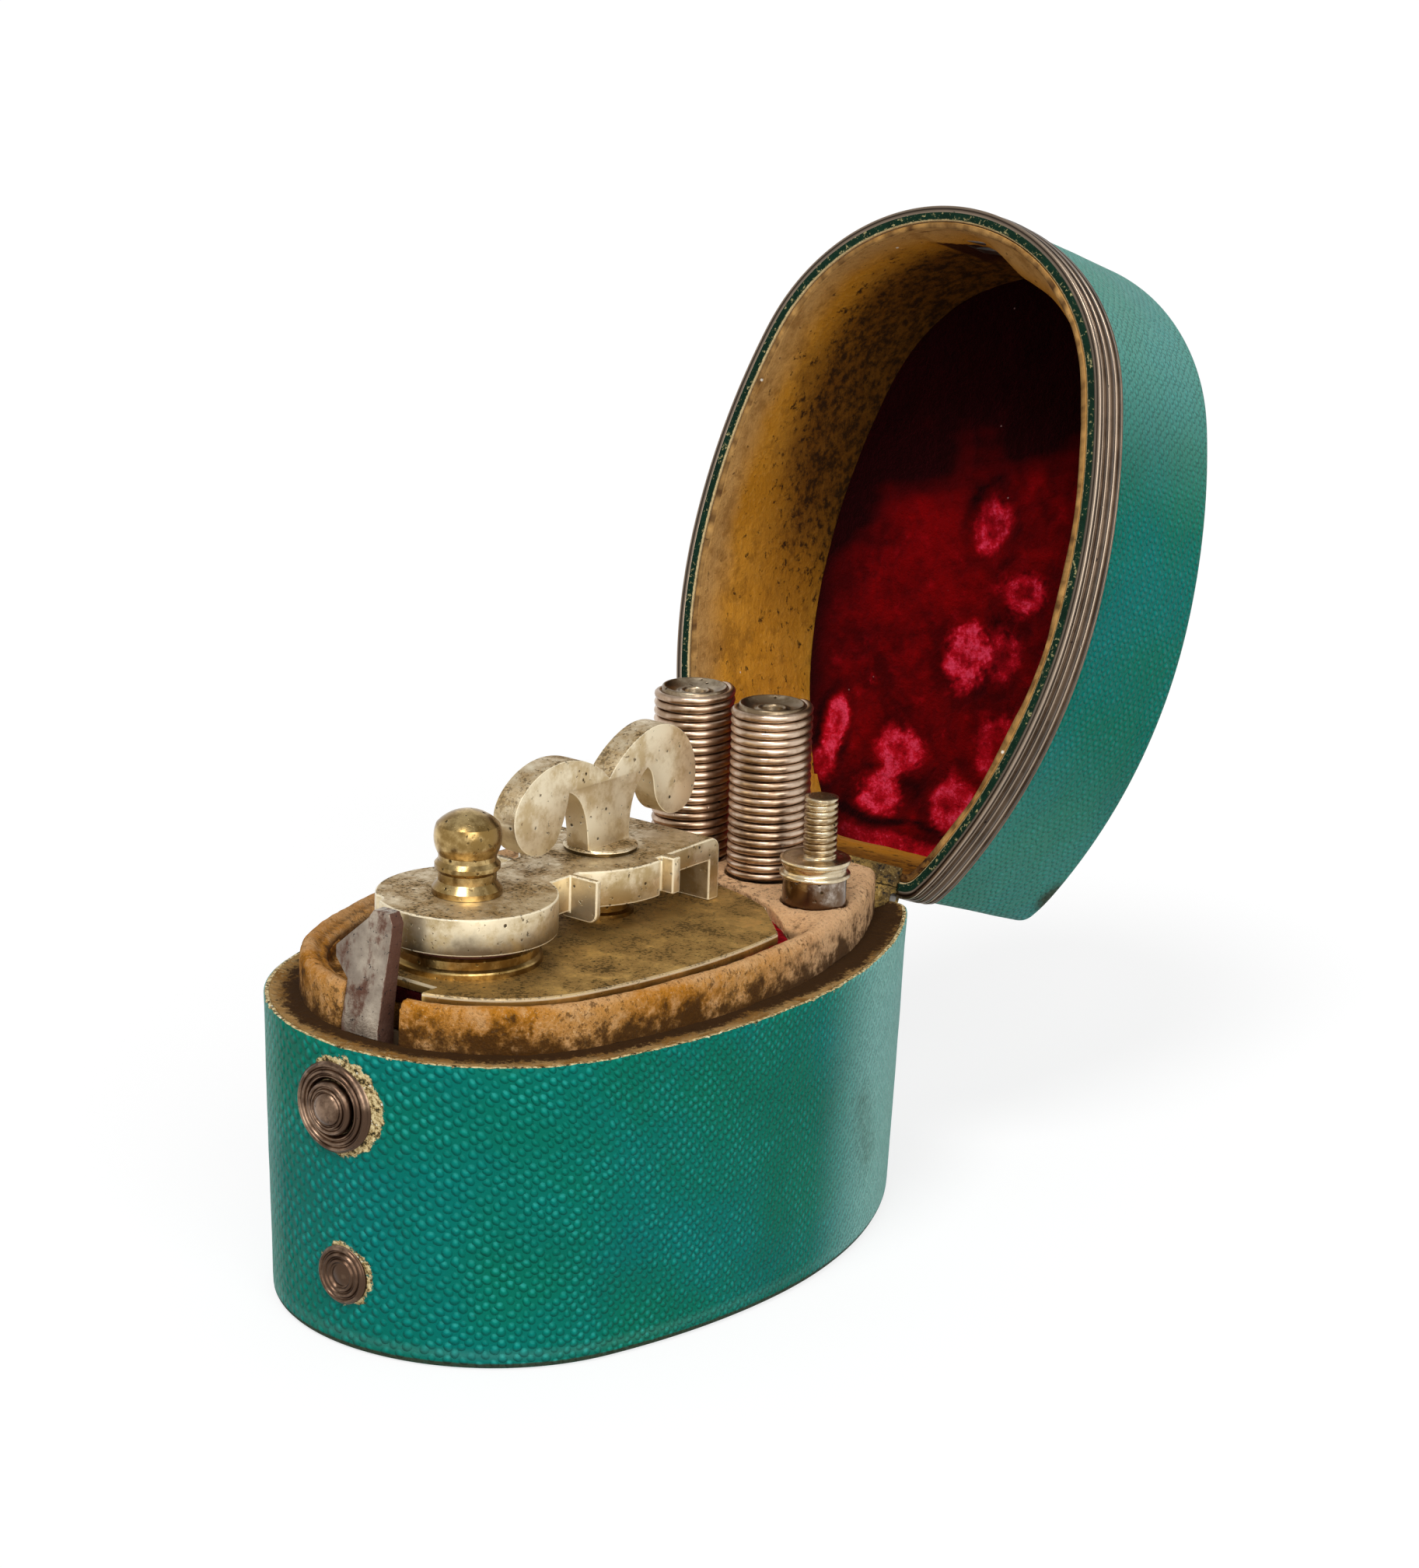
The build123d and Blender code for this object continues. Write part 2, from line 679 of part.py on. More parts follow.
# Threaded peg in its sleeve
peg_base = peg_floor + fit_gap
peg_flange_low = base_height + peg_sleeve_rise - 0.2
peg_flange_top = peg_flange_low + peg_flange_height
peg_top = base_height + peg_rise
peg_sleeve = turned(
    [
        (peg_thread_radius + fit_gap, peg_base),
        (peg_sleeve_radius, peg_base),
        (peg_sleeve_radius, peg_flange_low),
        (peg_thread_radius + fit_gap, peg_flange_low),
    ],
    peg_x,
    peg_y,
)
peg_waist = peg_flange_radius - 0.35
peg_screw = turned(
    [
        (0, peg_base + 0.5),
        (peg_thread_radius, peg_base + 0.5),
        (peg_thread_radius, peg_flange_low + fit_gap),
        (peg_flange_radius, peg_flange_low + fit_gap),
        (peg_flange_radius, peg_flange_low + 0.6),
        (peg_waist, peg_flange_low + 0.8),
        (peg_waist, peg_flange_top - 0.7),
        (peg_flange_radius, peg_flange_top - 0.5),
        (peg_flange_radius, peg_flange_top - 0.1),
        (peg_thread_radius + 0.5, peg_flange_top + 0.2),
        (peg_thread_radius, peg_flange_top + 0.2),
        (peg_thread_radius, peg_top - 0.3),
        (peg_thread_radius - 0.3, peg_top),
        (0, peg_top),
    ],
    peg_x,
    peg_y,
)

# Catch: bezel, button, leaf, rivet and strike
bezel_back = front_bore - fit_gap
bezel_face = -front_reach - 0.5
button_bezel = turned_on_front(
    [
        (button_radius + fit_gap, bezel_back),
        (bezel_radius, bezel_back),
        (bezel_radius, bezel_face + 0.5),
        (bezel_radius - 0.3, bezel_face + 0.2),
        (bezel_radius - 0.8, bezel_face + 0.2),
        (bezel_radius - 0.9, bezel_face + 0.4),
        (bezel_radius - 1.1, bezel_face),
        (button_radius + 0.5, bezel_face),
        (button_radius + 0.4, bezel_face + 0.3),
        (button_radius + fit_gap, bezel_face + 0.3),
    ],
    button_z,
    catch_x,
)
leaf_front = -front_reach + collar_inset + 0.25
button_back = front_bore - button_travel - fit_gap
button_tip = bezel_face - button_proud
catch_button = turned_on_front(
    [
        (0, leaf_front - 0.05),
        (shank_radius, leaf_front - 0.05),
        (shank_radius, button_back),
        (button_radius, button_back),
        (button_radius, button_tip + 1.0),
        (button_radius - 0.3, button_tip + 0.6),
        (button_radius - 0.9, button_tip + 0.6),
        (button_radius - 1.1, button_tip + 0.2),
        (0, button_tip),
    ],
    button_z,
    catch_x,
)

leaf_top = base_height + leaf_top_rise
leaf_bend_z = base_height + 1.0
leaf_head_y = leaf_front + leaf_lean
leaf_side = make_face(
    Plane.YZ
    * Polyline(
        (leaf_front, leaf_foot_z),
        (leaf_front, leaf_bend_z),
        (leaf_head_y, leaf_top),
        (leaf_head_y + leaf_head_thickness, leaf_top),
        (leaf_front + leaf_body_thickness + 0.3, leaf_bend_z + 2),
        (leaf_front + leaf_body_thickness, base_height - 6),
        (leaf_front + leaf_spring_thickness, base_height - 9),
        (leaf_front + leaf_spring_thickness, leaf_foot_z),
        close=True,
    )
)
leaf_left = catch_x - leaf_width / 2
leaf_right = catch_x + leaf_width / 2
barb_z = base_height + barb_rise
leaf_front_view = make_face(
    Plane.XZ
    * Polyline(
        (leaf_left, leaf_foot_z - 1),
        (leaf_right, leaf_foot_z - 1),
        (leaf_right, leaf_top - 1.2),
        (leaf_right - 0.8, leaf_top),
        (catch_x - 0.2, leaf_top + 0.3),
        (catch_x - 1.0, leaf_top - 1.0),
        (leaf_left - barb_reach, barb_z + 0.2),
        (leaf_left - 0.9 * barb_reach, barb_z - 1.1),
        (leaf_left, barb_z - 3.2),
        close=True,
    )
)
leaf_blank = across(leaf_side, leaf_left - 2 * barb_reach, leaf_right + barb_reach)
leaf_profile = lengthwise(leaf_front_view, -front_reach, 0)
catch_leaf = leaf_blank & leaf_profile
catch_leaf -= Pos(0, 0, rivet_z) * Rot(90, 0, 0) * Cylinder(
    rivet_radius + seat_clearance, front_reach, align=(Align.CENTER, Align.CENTER, Align.MIN)
)

rivet_front = rosette_face + 0.5
leaf_back = leaf_front + leaf_spring_thickness
catch_rivet = turned_on_front(
    [
        (0, leaf_back + 0.9),
        (rivet_radius + 0.9, leaf_back + 0.7),
        (rivet_radius + 0.9, leaf_back + rivet_play),
        (rivet_radius - fit_gap, leaf_back + rivet_play),
        (rivet_radius - fit_gap, rivet_front - fit_gap),
        (rosette_radius, rivet_front - fit_gap),
        (rosette_radius, rosette_face - 0.3),
        (rosette_radius - 0.5, rosette_face - 0.6),
        (rosette_radius - 1.2, rosette_face - 0.3),
        (rosette_radius - 1.6, rosette_face - 0.7),
        (rosette_radius - 2.4, rosette_face - 0.4),
        (0, rosette_face - 0.6),
    ],
    rivet_z,
)

# Lid shell
shell_inset = skin_thickness + fit_gap
leather_inset = shell_inset + lid_wall + fit_gap
cavity_inset = leather_inset + lid_leather
skin_under = lid_top - skin_thickness
carcass_over = skin_under - fit_gap
pad_over = carcass_over - lid_top_wall
pad_under = pad_over - pad_thickness
band_top = base_height + band_height
lid_groove = hinge_groove
lid_leaf_seat = block(
    (-hinge_half - fit_gap, hinge_half + fit_gap),
    (hinge_y - leaf_reach - fit_gap, hinge_y + 1),
    (base_height - 1, base_height + leaf_plate + 2 * fit_gap),
)

lid_skin = slab(case_outline(0), band_top + fit_gap, lid_top)
lid_skin = fillet(lid_skin.faces().sort_by(Axis.Z)[-1].edges(), lid_round)
skin_core = slab(case_outline(skin_thickness), base_height, skin_under)
skin_core = chamfer(skin_core.faces().sort_by(Axis.Z)[-1].edges(), lid_round - skin_thickness)
lid_skin -= skin_core

lid_carcass = slab(case_outline(shell_inset), base_height + rim_strip_height, carcass_over)
crown = lid_carcass.faces().sort_by(Axis.Z)[-1].edges()
lid_carcass = chamfer(crown, lid_round - skin_thickness)
lid_carcass -= slab(case_outline(shell_inset + lid_wall), base_height, pad_over)
lid_carcass -= lid_groove
lid_carcass -= lid_leaf_seat

lid_leather_wall = slab(case_outline(leather_inset), base_height, pad_over - fit_gap)
lid_leather_wall -= slab(case_outline(cavity_inset), base_height, pad_over)
lid_leather_wall -= lid_groove
lid_leather_wall -= lid_leaf_seat

lid_pad = slab(case_outline(cavity_inset + fit_gap), pad_under, pad_over - fit_gap)
lid_pad = fillet(lid_pad.faces().sort_by(Axis.Z)[0].edges(), pad_thickness / 2)

rim_strip = slab(case_outline(band_body - band_proud + 0.25), base_height, base_height + rim_strip_height - fit_gap)
rim_strip -= slab(case_outline(leather_inset - fit_gap), base_height, base_height + rim_strip_height)
rim_strip -= lid_groove
rim_strip -= lid_leaf_seat


def reeded_band():
    """Moulded metal band: rings of differing reach stacked up the height of the lid's edge."""
    reeds = [(0.0, 0.45, 0.25), (0.45, 0.8, 0.05), (0.8, 1.5, 0.3), (1.5, 1.8, 0.1), (1.8, 3.6, 0.38)]
    reeds += [(3.6, 3.9, 0.12), (3.9, 4.9, 0.5), (4.9, 5.2, 0.1), (5.2, 6.0, 0.4)]
    step = band_height / 6.0
    rings = slab(case_outline(0.0), base_height, band_top)
    for low, high, proud in reeds:
        rings += slab(case_outline(-proud * band_proud / 0.5), base_height + low * step, base_height + high * step)
    return rings


lid_band = reeded_band() - slab(case_outline(skin_thickness), base_height, band_top)
lid_band -= slab(case_outline(band_body - band_proud + 0.2), base_height, base_height + rim_strip_height)
lid_band -= lid_groove
lid_band -= lid_leaf_seat

strike_y = -front_reach + cavity_inset + fit_gap
strike_low = base_height + 6.0
catch_strike = block(
    (-strike_width / 2, strike_width / 2),
    (strike_y - 1, strike_y + strike_thickness),
    (strike_low, strike_low + strike_height),
)
catch_strike &= slab(case_outline(cavity_inset + fit_gap), base_height, lid_top)
catch_strike -= block(
    (leaf_left - 0.2, leaf_right - 1),
    (strike_y - 2, strike_y + 2),
    (strike_low + 2.4, strike_low + 5.0),
)

# Hinge: five knuckles, three on the base and two on the lid
knuckle_length = 2 * hinge_half / knuckles


def hinge_half_piece(owned, leaf_low, leaf_high):
    """One hinge leaf with the knuckles that it owns along the pin."""
    leaf = block((-hinge_half, hinge_half), (hinge_y - leaf_reach, hinge_y), (leaf_low, leaf_high))
    pin_space = Pos(0, hinge_y, base_height) * Rot(0, 90, 0) * Cylinder(pin_radius + pin_clearance, 3 * hinge_half)
    for index in range(knuckles):
        start = -hinge_half + index * knuckle_length
        middle = start + knuckle_length / 2
        if index in owned:
            length = knuckle_length - knuckle_gap
            leaf += Pos(middle, hinge_y, base_height) * Rot(0, 90, 0) * Cylinder(knuckle_radius, length)
        else:
            length = knuckle_length + knuckle_gap
            leaf -= Pos(middle, hinge_y, base_height) * Rot(0, 90, 0) * Cylinder(knuckle_radius + knuckle_gap, length)
    return leaf - pin_space


hinge_leaf_base = hinge_half_piece((0, 2, 4), base_height - fit_gap - leaf_plate, base_height - fit_gap)
hinge_leaf_lid = hinge_half_piece((1, 3), base_height + fit_gap, base_height + fit_gap + leaf_plate)
hinge_pin = Pos(0, hinge_y, base_height) * Rot(0, 90, 0) * Cylinder(pin_radius, 2 * hinge_half)

# Files
base_pieces = {
    "base_carcass": base_carcass,
    "base_skin": base_skin,
    "underside_cover": underside_cover,
    "ledge_lining": ledge_lining,
    "liner_block": liner_block,
    "collar": collar,
    "recess_velvet": recess_velvet,
    "deck_plate": deck_plate,
    "well_glass": well_glass,
    "well_neck": well_neck,
    "well_gasket": well_gasket,
    "screw_boss": screw_boss,
    "hinge_leaf_base": hinge_leaf_base,
    "hinge_pin": hinge_pin,
    "button_bezel": button_bezel,
    "catch_rivet": catch_rivet,
    "catch_button": catch_button,
    "catch_leaf": catch_leaf,
    "clamp_bar": clamp_bar,
    "clamp_knob": clamp_knob,
    "clamp_washer": clamp_washer,
    "thumb_turn": thumb_turn,
    "clamp_screw": clamp_screw,
    "peg_sleeve": peg_sleeve,
    "peg_screw": peg_screw,
}
for name, shape in base_pieces.items():
    save(name, shape)
for side, (x, y) in zip(("left", "right"), tube_places):
    save(f"tube_sleeve_{side}", Pos(x, y, 0) * sleeve)
    save(f"tube_winding_{side}", Pos(x, y, 0) * winding)

lid_pieces = {
    "lid_carcass": lid_carcass,
    "lid_skin": lid_skin,
    "lid_band": lid_band,
    "lid_rim_strip": rim_strip,
    "lid_leather_wall": lid_leather_wall,
    "lid_pad": lid_pad,
    "catch_strike": catch_strike,
    "hinge_leaf_lid": hinge_leaf_lid,
}
for name, shape in lid_pieces.items():
    save(name, opened(shape))
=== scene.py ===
import math

import bmesh
import bpy
import numpy as np
from mathutils import Matrix, Vector
from mathutils.kdtree import KDTree


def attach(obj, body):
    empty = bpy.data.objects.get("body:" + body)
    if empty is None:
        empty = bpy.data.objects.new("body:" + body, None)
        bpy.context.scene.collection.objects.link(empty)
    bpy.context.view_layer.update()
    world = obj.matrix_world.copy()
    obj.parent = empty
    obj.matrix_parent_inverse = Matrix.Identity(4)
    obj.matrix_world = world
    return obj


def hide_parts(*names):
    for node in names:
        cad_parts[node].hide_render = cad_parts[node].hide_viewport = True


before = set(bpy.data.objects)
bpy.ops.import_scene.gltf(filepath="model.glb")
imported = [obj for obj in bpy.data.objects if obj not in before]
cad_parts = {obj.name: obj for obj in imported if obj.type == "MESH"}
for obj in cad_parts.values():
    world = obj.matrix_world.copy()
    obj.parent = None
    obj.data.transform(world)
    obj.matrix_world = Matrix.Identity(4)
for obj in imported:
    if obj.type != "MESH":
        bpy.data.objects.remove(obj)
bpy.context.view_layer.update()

# View of the case: the open case seen from its front right, a little above the rim, through a long lens.
# Angles are in degrees and places in metres, in the case's own frame.
view_azimuth, view_elevation, view_roll = map(math.radians, (37.252, 16.066, 1.770))
view_distance = 0.5172
sight_rise, sight_aside, sight_up = 0.0184, 0.0128, 0.0384
toward_lens = Vector((
    math.sin(view_azimuth) * math.cos(view_elevation),
    -math.cos(view_azimuth) * math.cos(view_elevation),
    math.sin(view_elevation),
))
aside = Vector((math.cos(view_azimuth), math.sin(view_azimuth), 0))
upward = toward_lens.cross(aside)
lens_data = bpy.data.cameras.new("lens")
lens_data.sensor_width = 36.0
lens_data.lens = 97.72
lens_data.clip_start, lens_data.clip_end = 0.01, 20
camera = bpy.data.objects.new("camera", lens_data)
bpy.context.scene.collection.objects.link(camera)
bpy.context.scene.camera = camera
turned_view = Matrix((aside, upward, toward_lens)).transposed() @ Matrix.Rotation(view_roll, 3, "Z")
camera.matrix_world = Matrix.Translation(
    Vector((0, 0, sight_rise)) + aside * sight_aside + upward * sight_up + toward_lens * view_distance
) @ turned_view.to_4x4()

# Wooden carcass of base and lid: turned and carved limewood, dry and pale, seen only inside the bores.
# This section also holds the way a finish is written: sums on sockets, and one call for every other node.


class Amount:
    """A number on a socket; sums and products of amounts add the nodes that work them out."""

    def __init__(self, maker, socket):
        self.maker, self.socket = maker, socket

    def worked(self, operation, first, second):
        return self.maker.node("ShaderNodeMath", {0: first, 1: second}, operation=operation)

    def __add__(self, other):
        return self.worked("ADD", self, other)

    def __sub__(self, other):
        return self.worked("SUBTRACT", self, other)

    def __rsub__(self, other):
        return self.worked("SUBTRACT", other, self)

    def __mul__(self, other):
        return self.worked("MULTIPLY", self, other)

    __radd__, __rmul__ = __add__, __mul__

    def __pow__(self, other):
        return self.worked("POWER", self, other)

    def low(self, other):
        return self.worked("MINIMUM", self, other)

    def high(self, other):
        return self.worked("MAXIMUM", self, other)

    def rise(self, start, end):
        """0 before start and 1 after end, easing between."""
        sockets = {"Value": self, "From Min": start, "From Max": end}
        return self.maker.node("ShaderNodeMapRange", sockets, interpolation_type="SMOOTHSTEP")

    def fall(self, start, end):
        return 1 - self.rise(start, end)


class Nodes:
    """The nodes of a material or of the world, and the one way that each is made."""

    def __init__(self, tree):
        self.tree = tree

    def node(self, kind, sockets=None, out=0, **settings):
        made = self.tree.nodes.new(kind)
        for name, value in settings.items():
            setattr(made, name, value)
        for name, value in (sockets or {}).items():
            self.feed(made.inputs[name], value)
        return Amount(self, made.outputs[out])

    def feed(self, socket, value):
        if isinstance(value, Amount):
            self.tree.links.new(value.socket, socket)
        elif hasattr(value, "__len__") and socket.type == "RGBA":
            socket.default_value = (*value, 1)
        else:
            socket.default_value = value


class Finish(Nodes):
    """One material: a principled shader, with colours and bumps that are laid over one another in turn."""

    def __init__(self, name, **fixed):
        self.material = bpy.data.materials.new(name)
        self.material.use_nodes = True
        super().__init__(self.material.node_tree)
        self.shader = self.tree.nodes["Principled BSDF"]
        for socket, value in fixed.items():
            self.shader.inputs[socket.replace("_", " ")].default_value = value
        self.place = self.node("ShaderNodeTexCoord", out="Object")
        self.bump = None

    def noise(self, scale, detail=3.0, rough=0.55, place=None, out="Fac"):
        sockets = {"Vector": place or self.place, "Scale": scale, "Detail": detail, "Roughness": rough}
        return self.node("ShaderNodeTexNoise", sockets, out=out)

    def cells(self, scale, place=None, random=1.0, out="Distance"):
        sockets = {"Vector": place or self.place, "Scale": scale, "Randomness": random}
        return self.node("ShaderNodeTexVoronoi", sockets, out=out)

    def mix(self, share, first, second):
        return self.node("ShaderNodeMix", {0: share, 6: first, 7: second}, out=2, data_type="RGBA")

    def vector(self, operation, *values):
        return self.node("ShaderNodeVectorMath", dict(enumerate(values)), operation=operation)

    def part(self, axis, place):
        return self.node("ShaderNodeSeparateXYZ", {0: place}, out=axis)

    def mm(self, axis):
        """One coordinate of the object's own place, in millimetres."""
        return self.part(axis, self.place) * 1000

    def stretched(self, scale=(1, 1, 1), place=None, turn=(0, 0, 0), shift=(0, 0, 0)):
        sockets = {"Vector": place or self.place, "Scale": scale, "Rotation": turn, "Location": shift}
        return self.node("ShaderNodeMapping", sockets)

    def own(self, name, out="Fac"):
        """What the piece's own attribute says at each point."""
        return self.node("ShaderNodeAttribute", out=out, attribute_name=name)

    def color(self, value):
        self.shade = value
        self.feed(self.shader.inputs["Base Color"], value)

    def over(self, share, value):
        """Another colour over the last one, as far as its share says."""
        self.color(self.mix(share, self.shade, value))

    def rough(self, value):
        self.feed(self.shader.inputs["Roughness"], value)

    def relief(self, height, depth, strength=1.0):
        """Bump of a real depth in metres, over the last one."""
        sockets = {"Height": height, "Distance": depth, "Strength": strength}
        if self.bump:
            sockets["Normal"] = self.bump
        self.bump = self.node("ShaderNodeBump", sockets)
        self.feed(self.shader.inputs["Normal"], self.bump)


def dress(node, finish):
    """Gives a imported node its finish."""
    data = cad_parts[node].data
    data.materials.clear()
    data.materials.append(finish.material)


limewood = Finish("limewood", Roughness=0.75)
grain = limewood.noise(90, 4, place=limewood.stretched((1, 1, 0.12)))
limewood.color(limewood.mix(grain.rise(0.3, 0.7), (0.24, 0.15, 0.08), (0.42, 0.30, 0.18)))
limewood.relief(grain, 0.0002)
for node in ("base_carcass", "liner_block", "lid_carcass"):
    dress(node, limewood)

# Plan of the case: an oval of four arcs with its back cut straight for the hinge, the same for every layer.
# Sizes in millimetres. Each layer is the plan drawn in by its own inset.
half_width = 29.8
front_reach, front_end_radius = 46.0, 26.9
rear_reach, rear_end_radius = 48.0, 22.7
back_y = 41.1
corner_run = 2.4
rim_z = 37.0
MM = 0.001
plan_points, close_points = 720, 900
arc_points, flat_points = 400, 200


def along(x, y, count):
    """Even points on a closed line of points, by length, with its corners eased over corner_run."""
    step = np.hypot(np.diff(x, append=x[0]), np.diff(y, append=y[0]))
    reach = np.concatenate([[0], np.cumsum(step)])
    fine = 4000
    at = np.linspace(0, reach[-1], fine, endpoint=False)
    window = max(int(fine * corner_run / reach[-1]), 1)
    pick = np.linspace(0, fine, count, endpoint=False).astype(int)
    eased = []
    for line in (x, y):
        even = np.interp(at, reach, np.append(line, line[0]))
        wrapped = np.concatenate([even[-window:], even, even[:window]])
        eased.append(np.convolve(wrapped, np.ones(window) / window, "same")[window:-window][pick])
    return np.stack(eased, -1)


def plan(inset=0.0, count=plan_points):
    """Points of the plan drawn in by an inset, once round from the middle of the back, left side first.

    Each arc is a circle about its own centre, its radius less the inset; the back is a straight line.
    """
    front_run, rear_run = front_reach - front_end_radius, rear_reach - rear_end_radius

    def side(run, end):
        return (run ** 2 + half_width ** 2 - end ** 2) / (2 * (half_width - end))

    front_side, rear_side = side(front_run, front_end_radius), side(rear_run, rear_end_radius)
    front_turn = math.atan2(front_run, front_side - half_width)
    rear_turn = math.atan2(rear_run, rear_side - half_width)
    end_radius = rear_end_radius - inset
    flat_turn = math.asin((back_y - inset - rear_run) / end_radius)
    arcs = [
        (0, -front_run, front_end_radius - inset, -math.pi / 2, -front_turn),
        (half_width - front_side, 0, front_side - inset, -front_turn, 0),
        (half_width - rear_side, 0, rear_side - inset, 0, rear_turn),
        (0, rear_run, end_radius, rear_turn, flat_turn),
    ]
    xs, ys = [], []
    for centre_x, centre_y, radius, start, end in arcs:
        turn = np.linspace(start, end, arc_points, endpoint=False)
        xs.append(centre_x + radius * np.cos(turn))
        ys.append(centre_y + radius * np.sin(turn))
    xs.append(np.linspace(end_radius * math.cos(flat_turn), 0, flat_points))
    ys.append(np.full(flat_points, back_y - inset))
    right_x, right_y = np.concatenate(xs), np.concatenate(ys)
    loop_x = np.concatenate([-right_x[::-1], right_x[1:-1]])
    loop_y = np.concatenate([right_y[::-1], right_y[1:-1]])
    return along(loop_x, loop_y, count)


# Skin of the base: green dyed shagreen laid round the wood, its scales in slanting rows, coarser at the front
# and finer towards the right and the back. Its raw edge shows pale along the rim and round the metal
# fittings; it is turned under the base, and its wall draws in towards the bottom.
skin_thickness, wall_draw, turned_under = 0.7, 1.2, 4.0
coarse_pitch, fine_pitch = 1.28, 0.86
hinge_half, knuckle_room = 14.1, 1.6
button_x, button_z, rosette_z = -0.9, 29.5, 9.2

shagreen = Finish("shagreen", Specular_IOR_Level=0.07)
laid = shagreen.own("scales", out="Vector")
wander = shagreen.vector("SUBTRACT", shagreen.noise(0.35, 2, place=laid, out="Color"), (0.5, 0.5, 0.5))
nudged = shagreen.vector("MULTIPLY_ADD", wander, (0.7, 0.7, 0), laid)
slant = (0, 0, math.radians(45))
rows_at = shagreen.stretched(place=nudged, turn=slant)
lit_side = shagreen.stretched(place=nudged, turn=slant, shift=(0.16, -0.16, 0))


def domed(far, steepness):
    """1 at a scale's middle, falling as a parabola to 0."""
    return (1 - (far * steepness) ** 2.0).high(0.0)


dome = domed(shagreen.cells(1.0, place=rows_at, random=0.3), 2.1)
# Painted highlight: a pale crescent on the upper side of each scale, where light from above catches it.
crescent = (domed(shagreen.cells(1.0, place=lit_side, random=0.3), 2.3) - dome * 0.45).high(0.0)
scale_own = shagreen.part("X", shagreen.cells(1.0, place=rows_at, random=0.3, out="Color"))
grime = shagreen.noise(0.8, 5, 0.7, place=laid)
dyed = shagreen.noise(0.045, 3, place=laid).rise(0.35, 0.68)
shown = shagreen.noise(0.13, 3, place=laid).rise(0.38, 0.62)
fade = shagreen.own("faded")
shagreen.color(shagreen.mix(dyed, (0.0, 0.153, 0.094), (0.0, 0.160, 0.137)))
raised = shagreen.mix(dyed, (0.0, 0.225, 0.150), (0.0, 0.225, 0.205))
shagreen.over(dome.rise(0.0, 0.9) * (0.35 + scale_own * 0.4 + shown * 0.3), raised)
# Painted highlight: pale crescents on the scales, stronger where the painted sheen lies.
shagreen.over(crescent.rise(0.25, 0.85) * (0.14 + shown * 0.6 + fade * 0.4), (0.03, 0.42, 0.36))
shagreen.over(shagreen.noise(0.05, 4, place=laid).rise(0.45, 0.75) * 0.3, (0.0, 0.09, 0.07))
shagreen.over(grime.rise(0.60, 0.74) * 0.6, (0.01, 0.05, 0.035))
# Painted sheen, partly dust: pale grey green where the skin is seen at a grazing angle.
shagreen.over(fade * 0.68, (0.31, 0.62, 0.56))
scuff = (shagreen.own("worn") + grime * 0.6 - 0.3).rise(0.25, 0.8)
shagreen.over(scuff * 0.85, (0.045, 0.04, 0.02))
ragged = (shagreen.own("raw") + (grime - 0.5) * 1.7).rise(0.42, 0.52)
fleck = shagreen.cells(1.9, place=laid).fall(0.15, 0.3) * shagreen.noise(0.9, 2, place=laid).rise(0.5, 0.6)
frayed = shagreen.noise(1.7, 4, 0.75, place=laid)
cream = shagreen.mix(frayed.rise(0.45, 0.62), (0.36, 0.24, 0.09), (0.80, 0.66, 0.36))
cream = shagreen.mix(frayed.fall(0.42, 0.48), cream, (0.03, 0.025, 0.012))
cream = shagreen.mix(fleck, cream, (0.9, 0.85, 0.68))
shagreen.over(ragged, cream)
shagreen.rough(0.40 + grime * 0.2 + scuff * 0.2)
shagreen.relief(grime + ragged * frayed, 0.00012, 0.7)
shagreen.relief(dome * (1 - ragged), 0.00042, 0.9)


def ramp(value, start, end):
    """0 at start and 1 at end, straight between, also where start is the greater."""
    return np.clip((value - start) / (end - start), 0, 1)


def ease(value, start, end):
    """The ramp with both its ends eased: three times its square less twice its cube."""
    share = ramp(value, start, end)
    return share * share * (3 - 2 * share)


def ridge(value, at, width):
    """1 at a value, and e to the minus square of the widths away from it."""
    return np.exp(-(((value - at) / width) ** 2))


def ripple(x, y, size, seed, octaves=3):
    """Unevenness from -1 to 1: sines of x and y in turned directions, each octave finer and weaker."""
    draw = np.random.default_rng(seed)
    total, weight, share = 0.0, 0.0, 1.0
    for octave in range(octaves):
        for wave in range(5):
            turn, phase, stretch = draw.uniform(0, 2 * np.pi, 3)
            pace = 2 * np.pi / size * 2 ** octave * (0.7 + 0.1 * stretch)
            total = total + share * np.sin((x * np.cos(turn) + y * np.sin(turn)) * pace + phase)
            weight += share * 0.6
        share *= 0.5
    return np.clip(total / weight, -1, 1)


def surface(name, grid, finish, closed_rows=False, **values):
    """A mesh from a grid of points in millimetres, rows by turns, each row closed round.

    Each named value has a number or a place for every point. Faces look outwards when the turns go left
    round and the rows go up.
    """
    rows, turns = grid.shape[:2]
    index = np.pad(np.arange(rows * turns).reshape(rows, turns), ((0, int(closed_rows)), (0, 1)), "wrap")

    def corners(of):
        return np.stack([of[:-1, :-1], of[:-1, 1:], of[1:, 1:], of[1:, :-1]], 2)

    quads = corners(index).reshape(-1, 4)
    mesh = bpy.data.meshes.new(name)
    mesh.from_pydata((grid.reshape(-1, 3) * MM).tolist(), [], quads.tolist())
    mesh.polygons.foreach_set("use_smooth", np.ones(len(quads), bool))
    for label, value in values.items():
        kind, field = ("FLOAT_VECTOR", "vector") if value.ndim == 3 else ("FLOAT", "value")
        closing = [(0, whole - given) for whole, given in zip(index.shape, value.shape)] + [(0, 0)]
        full = np.pad(value, closing[: value.ndim], "wrap")
        layer = mesh.attributes.new(label, kind, "CORNER")
        layer.data.foreach_set(field, corners(full).astype(np.float32).ravel())
    mesh.update()
    mesh.materials.append(finish.material)
    piece = bpy.data.objects.new(name, mesh)
    bpy.context.scene.collection.objects.link(piece)
    return piece


def ring(outline, height):
    """An outline in plan laid level at a height."""
    return np.column_stack([outline, np.full(len(outline), height)])


def carried(profile, count=plan_points):
    """Grid of a profile of (inset, height) points carried once round the plan."""
    return np.stack([ring(plan(inset, count), height) for inset, height in profile])


